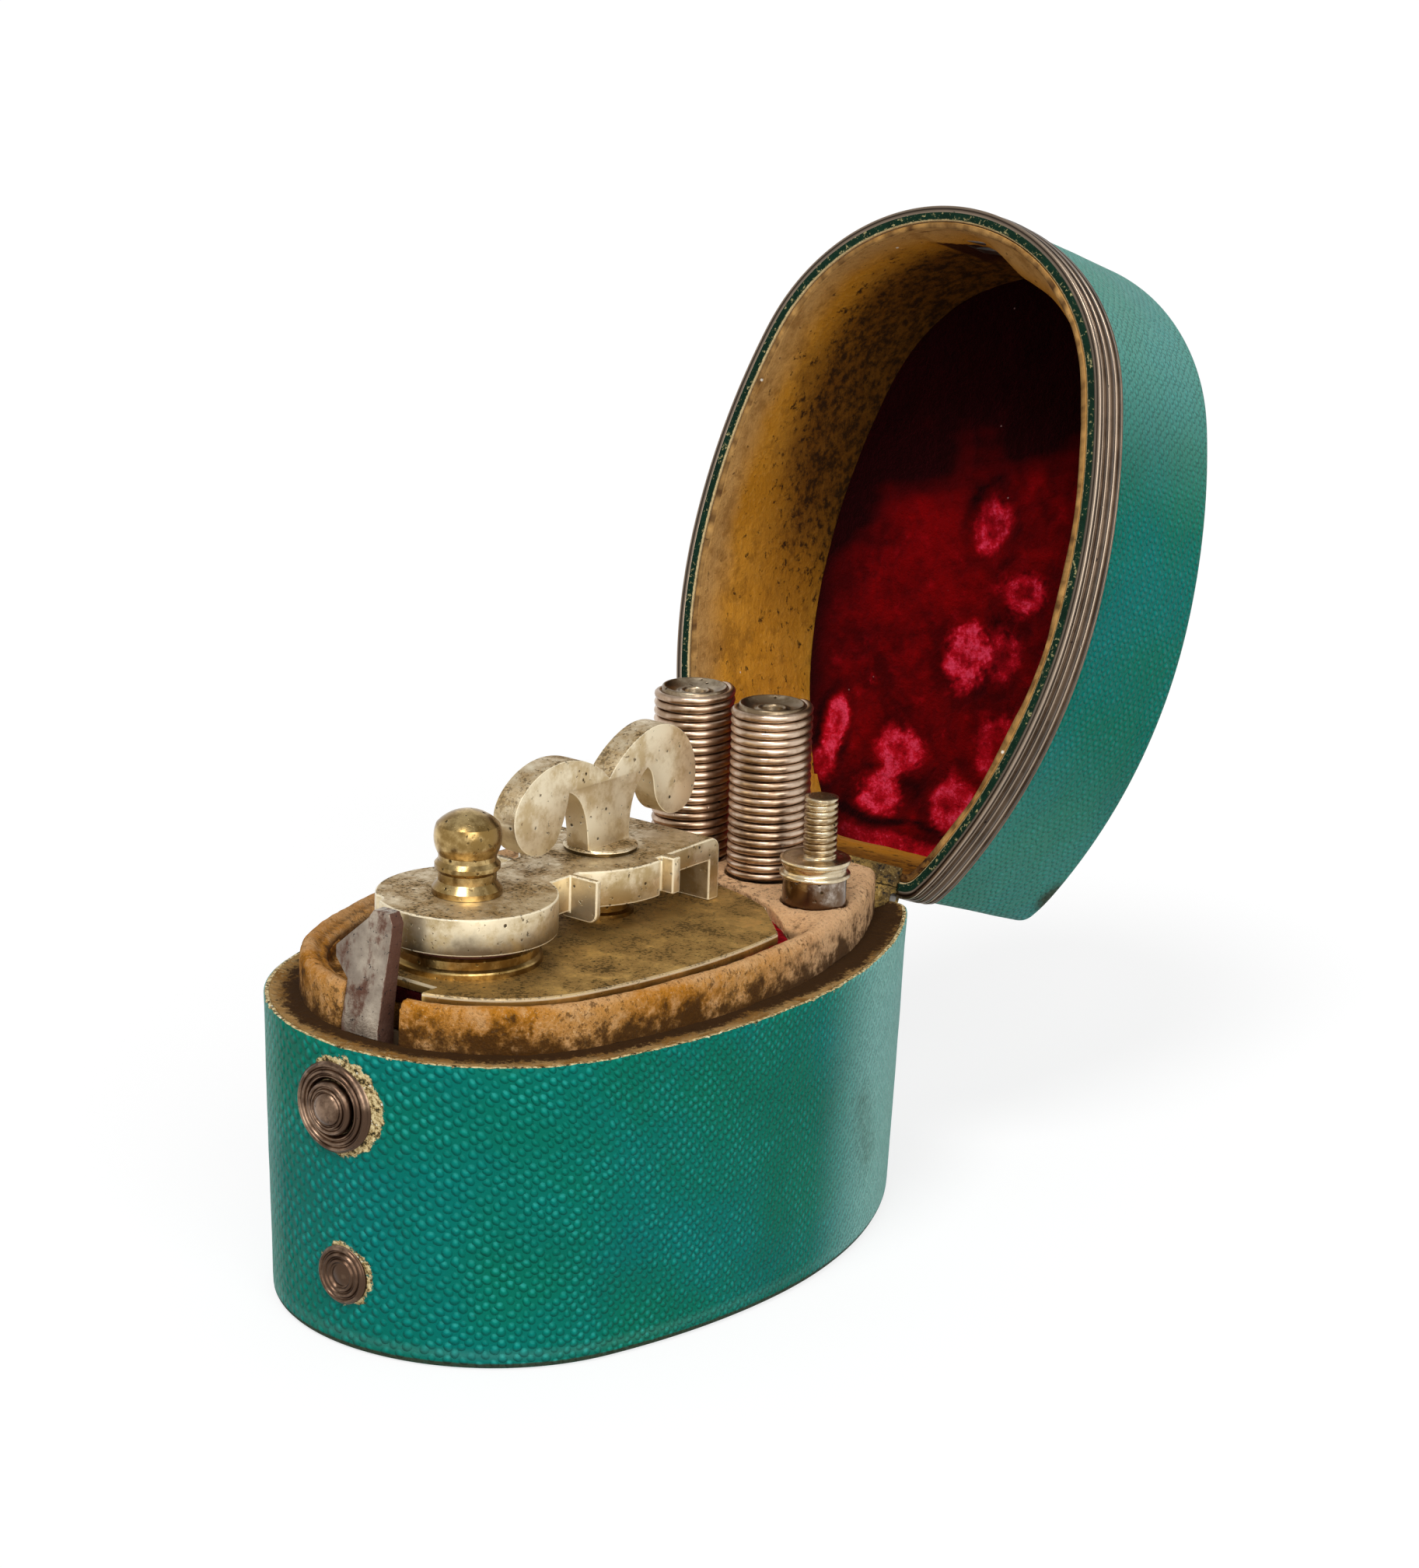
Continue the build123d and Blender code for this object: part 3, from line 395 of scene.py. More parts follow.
def lengths(grid):
    """Distance round the first ring, and distance up the middle column, in millimetres."""
    round_step = np.linalg.norm(np.diff(grid[0], axis=0, append=grid[0][:1]), axis=1)
    up_step = np.linalg.norm(np.diff(grid[:, grid.shape[1] // 2], axis=0), axis=1)
    return np.concatenate([[0], np.cumsum(round_step)]), np.concatenate([[0], np.cumsum(up_step)])


def away(grid):
    """Level direction from the case's middle to each point, one millimetre long."""
    return grid[..., :2] / np.linalg.norm(grid[..., :2], axis=-1, keepdims=True)


def clear_of_hinge(grid, depth, side):
    """Takes points near the knuckles down below the rim (side -1) or up above it (side 1), by their room."""
    near = (np.abs(grid[..., 0]) < hinge_half) & (grid[..., 1] > back_y - depth)
    cleared = side * np.maximum(side * grid[..., 2], side * rim_z + knuckle_room)
    grid[..., 2] = np.where(near, cleared, grid[..., 2])
    return near


def patch(grid, at, reach):
    """1 at a place, and the power 1.5 of the share of its reach that is left."""
    return ramp(np.linalg.norm(grid - np.array(at), axis=-1), reach, 0) ** 1.5


def scale_place(grid, pitch_at):
    """Place on the skin counted in scales: distance round and up, each over the pitch of the scales there."""
    turn, up = lengths(grid)
    pitch = pitch_at(turn / turn[-1])
    place = np.zeros((grid.shape[0], len(turn), 3))
    place[..., 0] = np.concatenate([[0], np.cumsum(np.diff(turn) / pitch[:-1])])
    place[..., 1] = up[:, None] / pitch
    return place


def base_pitch(share):
    """Coarse scales at the front, easing by a cosine to fine ones along the right side and the back."""
    coarse = 0.5 - 0.5 * np.cos(2 * np.pi * ramp(share, 0.22, 0.74))
    return fine_pitch + (coarse_pitch - fine_pitch) * coarse


outer = [(turned_under, 0.42), (2.6, 0.2)]
outer += [(wall_draw + 1.0 - math.sin(a), 1.0 - math.cos(a)) for a in np.linspace(0, np.pi / 2, 6)]
outer += [(wall_draw * (1 - z / rim_z), z) for z in np.linspace(1.0, rim_z - 0.25, 40)[1:]]
outer += [(0.1, rim_z - 0.08), (0.28, rim_z), (0.5, rim_z), (skin_thickness, rim_z - 0.15)]
inner = [(skin_thickness, rim_z - 2), (wall_draw + skin_thickness, 1.2), (turned_under, 1.05)]
base_grid = carried(outer + inner)
near_hinge = clear_of_hinge(base_grid, 5, -1)
turn_at, up_at = lengths(base_grid)
place_x, place_y, place_z = np.moveaxis(base_grid, -1, 0)
swell = ripple(turn_at[:-1][None], up_at[:, None], 22, 3) * 0.09
swell *= ramp(place_z, 1, 7) * np.clip((rim_z + 1.5 - place_z) / 5, 0.3, 1)
base_grid[: len(outer), :, :2] += (away(base_grid) * swell[..., None])[: len(outer)]
edge_unevenness = ripple(turn_at[:-1], turn_at[:-1] * 0, 5, 8, 4) * 0.09
rim_rows = slice(len(outer) - 4, len(outer))
place_z[rim_rows] += np.where(near_hinge[rim_rows], 0, edge_unevenness - 0.09)
raw_edge = 0.30 * ramp(place_z, rim_z - 1.1, rim_z - 0.2)
raw_edge[len(outer) - 3 : len(outer) + 1] = 1.1


def torn_round(at_x, at_z, radius, reach, share):
    """Raw skin round a metal fitting on the front: a ring that is widest to its upper right."""
    across, up = place_x - at_x, place_z - at_z
    far = np.hypot(across, up)
    widest = radius + reach * np.clip(0.35 + 0.65 * (across + 0.35 * up) / np.maximum(far, 0.1), 0.1, 1)
    return np.where(place_y < 0, np.clip((widest - far) / 0.9 + 0.5, 0, 1), 0) * share


raw_edge = np.maximum(raw_edge, torn_round(button_x, button_z, 5.3, 1.7, 0.8))
raw_edge = np.maximum(raw_edge, torn_round(0, rosette_z, 3.6, 0.9, 0.62))
# Painted sheen, partly dust: at the left front and the back right of the base, and on a ridge along its
# bottom.
faded = ramp(place_x, -11, -24) * ease(place_y, 6, -20) + ease(place_y, 5, 24) * ease(place_x, 2, 24)
faded += ramp(np.abs(place_z - 1.7), 0.4, 0) * 0.25
worn_at = [((27, 22, 12), 14, 0.55), ((28, 18, 20), 9, 0.4), ((29, -2, 25), 10, 0.25)]
worn_at += [((12, -42, 34), 8, 0.3)]
wear = sum(share * patch(base_grid, at, reach) for at, reach, share in worn_at)
wear += 1.3 * ramp(np.abs(place_z - 0.55), 0.55, 0)
skin_wall = surface(
    "base_skin_wall", base_grid, shagreen, closed_rows=True,
    scales=scale_place(base_grid, base_pitch), worn=wear, raw=raw_edge, faded=faded,
)
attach(skin_wall, "base")
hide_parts("base_skin")

# Underside: a sheet of dark goatskin glued over the turned-in edge of the skin.
# Its pores are fine and even.
goatskin = Finish("goatskin", Roughness=0.62)
goatskin.color(goatskin.mix(goatskin.noise(60, 4), (0.05, 0.03, 0.02), (0.12, 0.075, 0.05)))
goatskin.relief(goatskin.cells(900), 0.0001, 0.6)
dress("underside_cover", goatskin)

# Collar: the liner's raised collar, covered with tan suede that is stained nearly black low down, rubbed
# orange on its shoulder and paler at the back. It slopes to the recess, and a line is scored along its crown.
# Its inner edge against the deck plate carries a painted shadow.
collar_inset, collar_top = 4.15, 42.6
scored_inset, crown_drop = 6.3, 1.35
suede = Finish("suede", Roughness=0.95, Specular_IOR_Level=0.15)
height = suede.mm("Z")
nap = suede.noise(2600, 4, 0.7)
mottle = suede.noise(420, 5, 0.68)
patchy = suede.noise(95, 3)
suede.color(suede.mix(patchy.rise(0.38, 0.65), (0.50, 0.19, 0.012), (0.60, 0.29, 0.075)))
suede.over(mottle.rise(0.45, 0.7) * 0.7, (0.68, 0.40, 0.18))
suede.over((height + (patchy - 0.5) * 3).rise(collar_top - 1, collar_top + 0.1) * 0.6, (0.62, 0.36, 0.17))
suede.over(suede.mm("Y").rise(-6, 16) * 0.65, (0.78, 0.50, 0.29))
# Painted highlight: pale tips of the nap, as if catching the light.
suede.over(nap.rise(0.54, 0.72) * 0.6, (0.80, 0.56, 0.30))
depth_stain = (height + (mottle - 0.5) * 15 + (patchy - 0.5) * 7).fall(rim_z, collar_top - 1.7)
suede.over(depth_stain * 0.92, (0.045, 0.017, 0.003))
specks = (suede.noise(1100, 4, 0.8) + (patchy - 0.5) * 0.35).rise(0.56, 0.64)
suede.over(specks * 0.7, (0.06, 0.022, 0.005))
suede.over(nap.fall(0.36, 0.46) * 0.45, (0.16, 0.07, 0.015))
# The dark scored line, and a painted shadow on the crown's inner edge against the plate.
suede.over(suede.own("scored") * 0.8, (0.07, 0.03, 0.01))
suede.over(suede.mm("X").fall(-26, -14) * 0.35, (0.36, 0.24, 0.13))
suede.relief(nap * 0.6 + mottle, 0.0005)


def reworked(node, name, voxel, finish):
    """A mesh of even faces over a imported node's shape: doubles merged, then remeshed at a size in mm."""
    piece = bpy.data.objects.new(name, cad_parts[node].data.copy())
    bpy.context.scene.collection.objects.link(piece)
    weld = piece.modifiers.new("weld", "WELD")
    weld.merge_threshold = 1e-6
    remesh = piece.modifiers.new("remesh", "REMESH")
    remesh.mode, remesh.voxel_size = "VOXEL", voxel * MM
    shaped = bpy.data.meshes.new_from_object(piece.evaluated_get(bpy.context.evaluated_depsgraph_get()))
    piece.modifiers.clear()
    piece.data = shaped
    shaped.name = name
    shaped.materials.clear()
    shaped.materials.append(finish.material)
    shaped.polygons.foreach_set("use_smooth", np.ones(len(shaped.polygons), bool))
    return piece


def points_of(mesh):
    """Places and outward directions of a mesh's points, in millimetres."""
    place, normal = np.zeros(len(mesh.vertices) * 3), np.zeros(len(mesh.vertices) * 3)
    mesh.vertices.foreach_get("co", place)
    mesh.vertices.foreach_get("normal", normal)
    return place.reshape(-1, 3) / MM, normal.reshape(-1, 3)


def set_points(mesh, place, **values):
    """New places for a mesh's points, and a value at each of them for each name that its finish reads."""
    mesh.vertices.foreach_set("co", (place * MM).astype(np.float32).ravel())
    for name, value in values.items():
        mesh.attributes.new(name, "FLOAT", "POINT").data.foreach_set("value", value.astype(np.float32))
    mesh.update()


def inset_of(place):
    """How far each point lies inside the plan: the distance to the nearest point of the outline."""
    outline = plan(0, 2 * plan_points)
    tree = KDTree(len(outline))
    for number, (x, y) in enumerate(outline):
        tree.insert((x, y, 0), number)
    tree.balance()
    return np.array([tree.find((x, y, 0))[2] for x, y in place[:, :2]])


collar_suede = reworked("collar", "collar_suede", 0.32, suede)
place, outward = points_of(collar_suede.data)
x, y, z = place.T
fuzz = ripple(x + z, y - z, 2.4, 5, 4) * 0.06 + ripple(x, y + z, 14, 6, 2) * 0.10
drawn = inset_of(place)
score = ridge(drawn, scored_inset, 0.16) * (z > collar_top - 1) * (y < 12)
crown = ramp(drawn, 4.9, 7.4) ** 1.2 * ramp(z, collar_top - 1.7, collar_top - 1) * ramp(y, 15, 11)
place[:, 2] -= crown_drop * crown
place += outward * (fuzz - 0.1 * score - 0.05)[:, None]
# Scored line, and a painted shadow where the crown drops to the plate's edge.
set_points(collar_suede.data, place, scored=np.clip(score + np.clip(crown * 4 - 3.1, 0, 1), 0, 1))
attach(collar_suede, "base")
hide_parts("collar")

# Ledge: the wooden rim round the collar, covered with the same suede, its nap clotted into tufts, pale where
# the skin's edge rubs it and black with dirt in the groove against the collar.
ledge_start, ledge_end, ledge_thickness = 0.66, collar_inset + 0.12, 0.4
ledge = Finish("ledge", Roughness=0.95, Specular_IOR_Level=0.1)
ledge_nap = ledge.noise(1500, 5, 0.75)
clots = ledge.noise(240, 4)
ledge.color(ledge.mix(clots.rise(0.35, 0.65), (0.27, 0.13, 0.03), (0.50, 0.30, 0.11)))
ledge.over(ledge_nap.rise(0.50, 0.66) * 0.75, (0.74, 0.54, 0.26))
ledge.over((ledge.own("inward") * 0.8 + clots * 0.8 + ledge_nap * 1.3).rise(1.15, 1.5), (0.05, 0.022, 0.006))
ledge.relief(ledge_nap, 0.0005)
under_z = rim_z - ledge_thickness
ledge_profile = [(ledge_start, under_z), (ledge_end, under_z)]
ledge_profile += [(inset, rim_z) for inset in np.linspace(ledge_end, ledge_start, 22)]
ledge_grid = carried(ledge_profile, close_points)
inset_rows, z_rows = np.array(ledge_profile).T[..., None]
share_in = np.repeat((inset_rows - ledge_start) / (ledge_end - ledge_start), close_points, 1)
turn_at = lengths(ledge_grid)[0][:-1]
tufts = (ripple(turn_at, inset_rows, 1.6, 9, 3) + ripple(turn_at, inset_rows, 7, 10, 2)) * 0.10
crest = np.sin(np.pi * np.clip(share_in, 0, 1)) ** 0.5
ledge_grid[..., 2] += np.where(z_rows > under_z + 0.1, crest * (tufts - 0.17), 0)
clear_of_hinge(ledge_grid, 4.4, -1)
crusted = 0.4 * ramp(ledge_grid[..., 1], 8, 28)
ledge_suede = surface("ledge_suede", ledge_grid, ledge, closed_rows=True, inward=share_in + crusted)
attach(ledge_suede, "base")
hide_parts("ledge_lining")

# Velvet under the deck plate: a crimson scrap glued in the recess, that shows only round the plate's edge.
# Its silk pile is painted bright where it is crushed, as sheen, and dark with soot and painted shade where
# the plate covers it.
velvet = Finish(
    "velvet", Roughness=0.9, Sheen_Weight=0.1, Sheen_Roughness=0.4, Sheen_Tint=(0.9, 0.05, 0.1, 1),
    Specular_IOR_Level=0.05,
)
pile = velvet.noise(1900, 5, 0.75)
tufted = velvet.noise(420, 4, 0.65)
broad = velvet.noise(70, 4, 0.6)
crushed = velvet.own("crushed")
deep_red = (broad + (tufted - 0.5) * 0.6).rise(0.3, 0.7)
velvet.color(velvet.mix(deep_red, (0.06, 0.0001, 0.0002), (0.24, 0.0002, 0.0008)))
# Painted sheen: the crushed pile drawn brighter crimson, then pink, as if catching the light.
velvet.over((crushed + tufted * 0.8 + pile * 0.5 - 0.75).rise(0.0, 0.8) * 0.9, (0.80, 0.006, 0.022))
velvet.over((crushed + tufted * 1.5 + pile * 1.9 - 2.1).rise(0.15, 0.8) * 0.75, (1.0, 0.08, 0.18))
# Soot, and painted shade where the plate or the lid's rim hides the pile: near black.
soot_share = (velvet.own("soot") + (tufted - 0.5) * 0.5).rise(0.05, 0.95)
velvet.over(soot_share * 0.985, (0.004, 0.0004, 0.0003))
lint = velvet.cells(230).fall(0.015, 0.04)
velvet.over(lint * 0.5, (0.7, 0.45, 0.42))
velvet.relief(pile * 0.6 + tufted + broad, 0.0009)
deck_velvet = reworked("recess_velvet", "deck_velvet", 0.4, velvet)
place, outward = points_of(deck_velvet.data)
x, y, z = place.T
tuft = ripple(x, y, 1.8, 12, 3)
# Soot and painted shade under the plate, lighter only at its back right.
covered = np.where((x < 8) | (y < 0), 0.9, 0.1)
place += outward * (tuft * 0.08 - 0.02)[:, None]
set_points(deck_velvet.data, place, crushed=0.35 + 0.3 * tuft, soot=covered)
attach(deck_velvet, "base")
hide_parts("recess_velvet")

# Brass work: deck plate, neck of the well, clamp bar, knob, thumb turn, washer and boss, sawn from cast sheet
# or turned, filed and burnished, then left to dull. The plate's upper edge and the filed edges of bar and
# turn are rubbed bright and carry a painted highlight, and what faces up carries dirt and a painted dark
# reflection.


def brass(name, bright, dull, dullness, specks, rough, dirt=(0.035, 0.022, 0.008), metal=1.0,
          brushed=None, stained=None, lip=None):
    """Aged brass: clouds of dull metal over bright, dark pits and specks, and more dirt on top, where a
    painted dark reflection lies too.

    It may be brushed, stretching fine scratches by three shares, stained at the front between two heights in
    mm, and painted bright as a highlight on a band of its sides between two heights. Its rubbed edges are
    partly a painted highlight too.
    """
    finish = Finish(name)
    clouds = finish.noise(210, 5, 0.62)
    fine = finish.noise(900, 4, 0.7)
    faces_up, edge = finish.own("upward"), finish.own("edge")
    tarnish = (clouds + fine * 0.3).rise(0.78 - dullness * 0.5, 0.98 - dullness * 0.4)
    finish.color(finish.mix(tarnish, bright, dull))
    # Dirt on what faces up, and partly a painted dark reflection of the dim space above.
    settled = faces_up * (clouds * 0.8 + fine * 0.6).rise(0.35, 0.85)
    finish.over(settled * 0.8, (0.34, 0.205, 0.07))
    if stained:
        low = (finish.mm("Z") + (clouds - 0.5) * 9).fall(*stained) * finish.mm("Y").fall(-15, -10)
        finish.over(low * 0.8, (0.10, 0.06, 0.02))
    # Painted highlight: a bright band along the sides just below the top face.
    if lip:
        edge = edge.high(finish.mm("Z").rise(*lip) * (1 - faces_up))
    # Rubbed edges, partly a painted highlight: pale and less metallic, so that they catch the lamps.
    finish.over(edge * 0.8, (0.92, 0.80, 0.56))
    finish.feed(finish.shader.inputs["Metallic"], (metal - edge * 0.8).high(0.0))
    pitted = finish.noise(330, 3, 0.7).rise(0.62 - specks * 0.14, 0.66 - specks * 0.1)
    spots = finish.noise(1300, 3, 0.6).rise(0.72 - specks * 0.08, 0.78 - specks * 0.06)
    grains = faces_up * (finish.noise(2300, 3, 0.7) + (clouds - 0.5) * 0.7).rise(0.53, 0.62)
    marks = (finish.cells(750).fall(0.1, 0.2) * pitted + spots * 0.8).low(1.0)
    marks = (marks + grains * 0.75).low(1.0)
    finish.over(marks * 0.92, dirt)
    finish.rough((rough + clouds * 0.16 + marks * 0.35 + settled * 0.25) * (1 - edge * 0.5))
    if brushed:
        finish.relief(finish.noise(1100, 3, 0.6, place=finish.stretched(brushed)), 0.00003, 0.5)
        finish.relief(1 - marks, 0.00005, 0.7)
    else:
        finish.relief(clouds * 0.5 + fine * 0.2, 0.00007, 0.5)
        finish.relief(1 - marks, 0.00007, 0.8)
    return finish


pale_brass = brass(
    "pale_brass", (0.84, 0.73, 0.52), (0.58, 0.44, 0.24), dullness=0.42, specks=0.85, rough=0.28, metal=0.85,
)
bar_brass = brass(
    "bar_brass", (0.82, 0.70, 0.48), (0.50, 0.37, 0.18), dullness=0.48, specks=1.0, rough=0.28, metal=0.85,
    stained=(45.4, 48.6),
)
knob_brass = brass(
    "knob_brass", (0.70, 0.51, 0.23), (0.26, 0.16, 0.05), dullness=0.7, specks=1.0, rough=0.17,
)
deck_brass = brass(
    "deck_brass", (0.80, 0.54, 0.18), (0.42, 0.26, 0.07), dullness=0.6, specks=1.0, rough=0.38,
    brushed=(0.25, 1.6, 1), lip=(41.86, 41.98),
)
dark_brass = brass(
    "dark_brass", (0.25, 0.16, 0.06), (0.07, 0.045, 0.015), dullness=0.8, specks=1.0, rough=0.4,
)
drum_brass = brass(
    "drum_brass", (0.66, 0.47, 0.19), (0.22, 0.13, 0.035), dullness=0.7, specks=1.0, rough=0.22,
)


joined_angle, broken_angle, shaded_angle = map(math.radians, (1, 28, 38))


def filed(node, name, finish, edge, body, rubbed_over=0.0):
    """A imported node's shape with its doubles merged, flat faces joined and its edges broken by a bevel."""
    work = bmesh.new()
    work.from_mesh(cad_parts[node].data)
    rubbed = work.faces.layers.float.new("edge")
    bmesh.ops.remove_doubles(work, verts=work.verts, dist=2e-6)
    bmesh.ops.dissolve_limit(work, angle_limit=joined_angle, verts=work.verts, edges=work.edges)
    sharp = [e for e in work.edges if len(e.link_faces) == 2 and e.calc_face_angle(0) > broken_angle]
    broken = bmesh.ops.bevel(
        work, geom=sharp, offset=edge * MM, segments=2, profile=0.6, affect="EDGES", clamp_overlap=True,
    )
    # Bevel faces above the given height get the rubbed edge colour, partly a painted highlight.
    for face in broken["faces"]:
        face[rubbed] = float(face.calc_center_median().z > rubbed_over * MM)
    mesh = bpy.data.meshes.new(name)
    work.to_mesh(mesh)
    work.free()
    mesh.polygons.foreach_set("use_smooth", np.ones(len(mesh.polygons), bool))
    mesh.set_sharp_from_angle(angle=shaded_angle)
    facing = np.zeros(len(mesh.polygons) * 3)
    mesh.polygons.foreach_get("normal", facing)
    for label, axis in (("flank", 0), ("upward", 2)):
        layer = mesh.attributes.new(label, "FLOAT", "FACE")
        layer.data.foreach_set("value", np.clip(facing[axis::3], 0, 1).astype(np.float32))
    mesh.materials.append(finish.material)
    piece = bpy.data.objects.new(name, mesh)
    bpy.context.scene.collection.objects.link(piece)
    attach(piece, body)
    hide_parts(node)


filed("deck_plate", "deck_plate_brass", deck_brass, 0.42, "base")
filed("clamp_bar", "clamp_bar_brass", bar_brass, 0.2, "bar")
filed("thumb_turn", "thumb_turn_brass", pale_brass, 0.22, "turn", rubbed_over=52)
dress("clamp_knob", knob_brass)
dress("clamp_washer", dark_brass)
dress("screw_boss", drum_brass)
dress("well_neck", drum_brass)

# Screw, hinge pin and strike: drawn steel, dull and a little clouded.
# The screw runs in the boss, the pin in the knuckles, and the strike is let into the lid's front.
steel = Finish("steel", Metallic=1.0)
steel_cloud = steel.noise(500, 4)
steel.color(steel.mix(steel_cloud, (0.12, 0.10, 0.09), (0.38, 0.36, 0.33)))
steel.rough(0.35 + steel_cloud * 0.25)
steel.relief(steel_cloud, 0.00005, 0.6)
for node in ("clamp_screw", "hinge_pin", "catch_strike"):
    dress(node, steel)

# Well: a moulded glass pot under the deck, and the oiled leather washer that the clamp presses on its mouth.
# The glass is slightly uneven, and the washer dark and grained.
glass = Finish("glass", Roughness=0.03, Transmission_Weight=1.0, IOR=1.5)
glass.color(glass.mix(glass.noise(120), (0.80, 0.90, 0.86), (0.9, 0.96, 0.93)))
glass.relief(glass.noise(180, 2), 0.00008, 0.4)
dress("well_glass", glass)
washer_leather = Finish("washer_leather", Roughness=0.6)
washer_grain = washer_leather.noise(900, 4)
washer_leather.color(washer_leather.mix(washer_grain, (0.055, 0.015, 0.01), (0.16, 0.05, 0.03)))
washer_leather.relief(washer_grain, 0.0002)
dress("well_gasket", washer_leather)

# Wound tubes: drawn white-metal wire coiled close round a turned sleeve. The wire climbs just over its own
# thickness each turn. The sleeve has a foot in the block and a top dished round a small lipped hole.
tube_places = {"left": (-6.0, 25.5, 21), "right": (6.0, 25.5, 33)}
wire_thickness, wire_pitch, tube_outer = 1.0, 1.06, 5.05
coil_foot, coil_top = 41.75, 64.2
wire_steps, wire_sides, lathe_points = 56, 12, 96
wire_metal = brass(
    "wire_metal", (0.64, 0.485, 0.36), (0.35, 0.235, 0.15), dullness=0.45, specks=0.2, rough=0.22,
)
sleeve_metal = brass(
    "sleeve_metal", (0.50, 0.41, 0.29), (0.20, 0.14, 0.08), dullness=0.6, specks=0.7, rough=0.25,
)
sleeve_profile = [(0, 33.65), (tube_outer, 33.65), (tube_outer, 41.7), (4.12, 41.7), (4.12, 63.95)]
sleeve_profile += [(4.02, 64.12), (3.85, 64.15), (3.7, 64.05), (3.5, 63.8), (2.4, 63.45), (2.0, 63.4)]
sleeve_profile += [(1.95, 63.55), (1.7, 63.62), (1.45, 63.55), (1.35, 63.3), (1.35, 55.0), (0, 55.0)]


def coil(name, x, y, seed):
    """A round wire on a rising circle: radius and pitch steady, with a slight wander from turn to turn."""
    turns = (coil_top - coil_foot - wire_thickness) / wire_pitch
    steps = int(turns * wire_steps)
    angle = np.linspace(0, 2 * np.pi * turns, steps)
    reach = tube_outer - wire_thickness / 2 + 0.035 * ripple(angle, 0, 40, seed + 1, 2)
    climb = coil_foot + wire_thickness / 2 + wire_pitch * angle / (2 * np.pi)
    climb = climb + 0.04 * ripple(angle, 0, 9, seed, 3)
    centre = np.stack([x + reach * np.cos(angle), y + reach * np.sin(angle), climb], -1)
    out = np.stack([np.cos(angle), np.sin(angle), angle * 0], -1)[:, None]
    side = np.linspace(0, 2 * np.pi, wire_sides, endpoint=False)[None, :, None]
    count = np.arange(steps)
    rounded_ends = np.minimum(np.minimum(count, count[::-1]) / 3, 1) ** 0.5
    wire = (out * np.cos(side) + np.array([0, 0, 1]) * np.sin(side)) * (wire_thickness / 2)
    grid = centre[:, None] + wire * rounded_ends[:, None, None]
    return surface(name, grid[:, ::-1], wire_metal)


def turned(profile, count, groove=None):
    """A profile of (radius, height) points turned about a line: places across, along and up that line."""
    radius, rise = np.array(profile, float).T[..., None]
    angle = np.linspace(0, 2 * np.pi, count, endpoint=False)[None]
    reach = radius * np.ones_like(angle)
    if groove:
        reach -= groove(angle, rise) * (radius > 0.1)
    return reach * np.cos(angle), reach * np.sin(angle), np.repeat(rise, count, 1)


for side_name, (tube_x, tube_y, seed) in tube_places.items():
    winding = coil("winding_" + side_name, tube_x, tube_y, seed)
    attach(winding, "tube_" + side_name)
    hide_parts("tube_winding_" + side_name)
    across, deep, rise = turned(sleeve_profile, lathe_points)
    sleeve_grid = np.stack([tube_x + across, tube_y + deep, rise], -1)
    sleeve = surface("sleeve_" + side_name, sleeve_grid, sleeve_metal)
    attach(sleeve, "tube_" + side_name)
    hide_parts("tube_sleeve_" + side_name)

# Threaded peg: a nickelled screw with a flange, standing in a plated sleeve sunk in the collar.
# Its thread is cut right-handed, and leans a little to the right and the back.
peg_x, peg_y, lean_x, lean_y = 17.3, 20.0, 0.4, 0.3
silver = brass("silver", (0.66, 0.58, 0.50), (0.14, 0.085, 0.05), dullness=0.75, specks=0.6, rough=0.14)
peg_metal = brass("peg_metal", (0.68, 0.57, 0.39), (0.30, 0.20, 0.10), dullness=0.5, specks=0.3, rough=0.2)
thread_radius, thread_depth, thread_pitch = 2.05, 0.42, 0.8
thread_low, thread_high, thread_rows = 48.3, 55.65, 96


def thread(angle, rise):
    """Groove of a right-hand thread: deepest where height over pitch runs level with the turn."""
    phase = (rise / thread_pitch - angle / (2 * np.pi)) % 1
    inside = ramp(rise, thread_low, thread_low + 0.5) * ramp(rise, thread_high - 0.1, thread_high - 0.4)
    return thread_depth * np.clip(np.abs(phase - 0.5) * 4 - 0.9, 0, 1) * inside


peg_profile = [(0, 36.2), (1.9, 36.2), (2.05, 36.4), (2.05, 45.75), (4.1, 45.75), (4.3, 45.9), (4.3, 46.2)]
peg_profile += [(4.1, 46.35), (3.85, 46.5), (3.82, 46.9), (4.0, 47.1), (4.0, 47.3), (4.2, 47.45)]
peg_profile += [(4.3, 47.6), (4.3, 47.95), (4.15, 48.08), (3.7, 48.0), (2.6, 48.1)]
peg_profile += [(thread_radius, rise) for rise in np.linspace(thread_low, thread_high, thread_rows)]
peg_profile += [(1.6, 55.7), (0, 55.72)]
across, deep, rise = turned(peg_profile, lathe_points, thread)
leaning = rise > thread_low - 0.05
peg_grid = np.stack([peg_x + across + lean_x * leaning, peg_y + deep + lean_y * leaning, rise], -1)
peg = surface("peg_threaded", peg_grid, peg_metal)
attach(peg, "peg")
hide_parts("peg_screw")
dress("peg_sleeve", silver)

# Button, its ringed bezel and the rosette below: turned bronze, browned, with raised rings. The button slides
# in the bezel, and the rosette is the head of the rivet that holds the catch's foot.
bronze = brass(
    "bronze", (0.30, 0.20, 0.135), (0.085, 0.05, 0.032), dullness=0.6, specks=0.5, rough=0.22,
    dirt=(0.02, 0.013, 0.01),
)


def on_front(name, profile, x, z):
    """A profile of (radius, y) points turned about a line that runs from front to back."""
    across, up, depth = turned(profile, 128)
    return surface(name, np.stack([x + across, depth, z + up], -1), bronze)


def reed(start, end, face, proud):
    """A raised ring across a face: half a wave from one radius to the other."""
    return [(start + (end - start) * t, face - proud * math.sin(math.pi * t)) for t in np.linspace(0, 1, 7)]


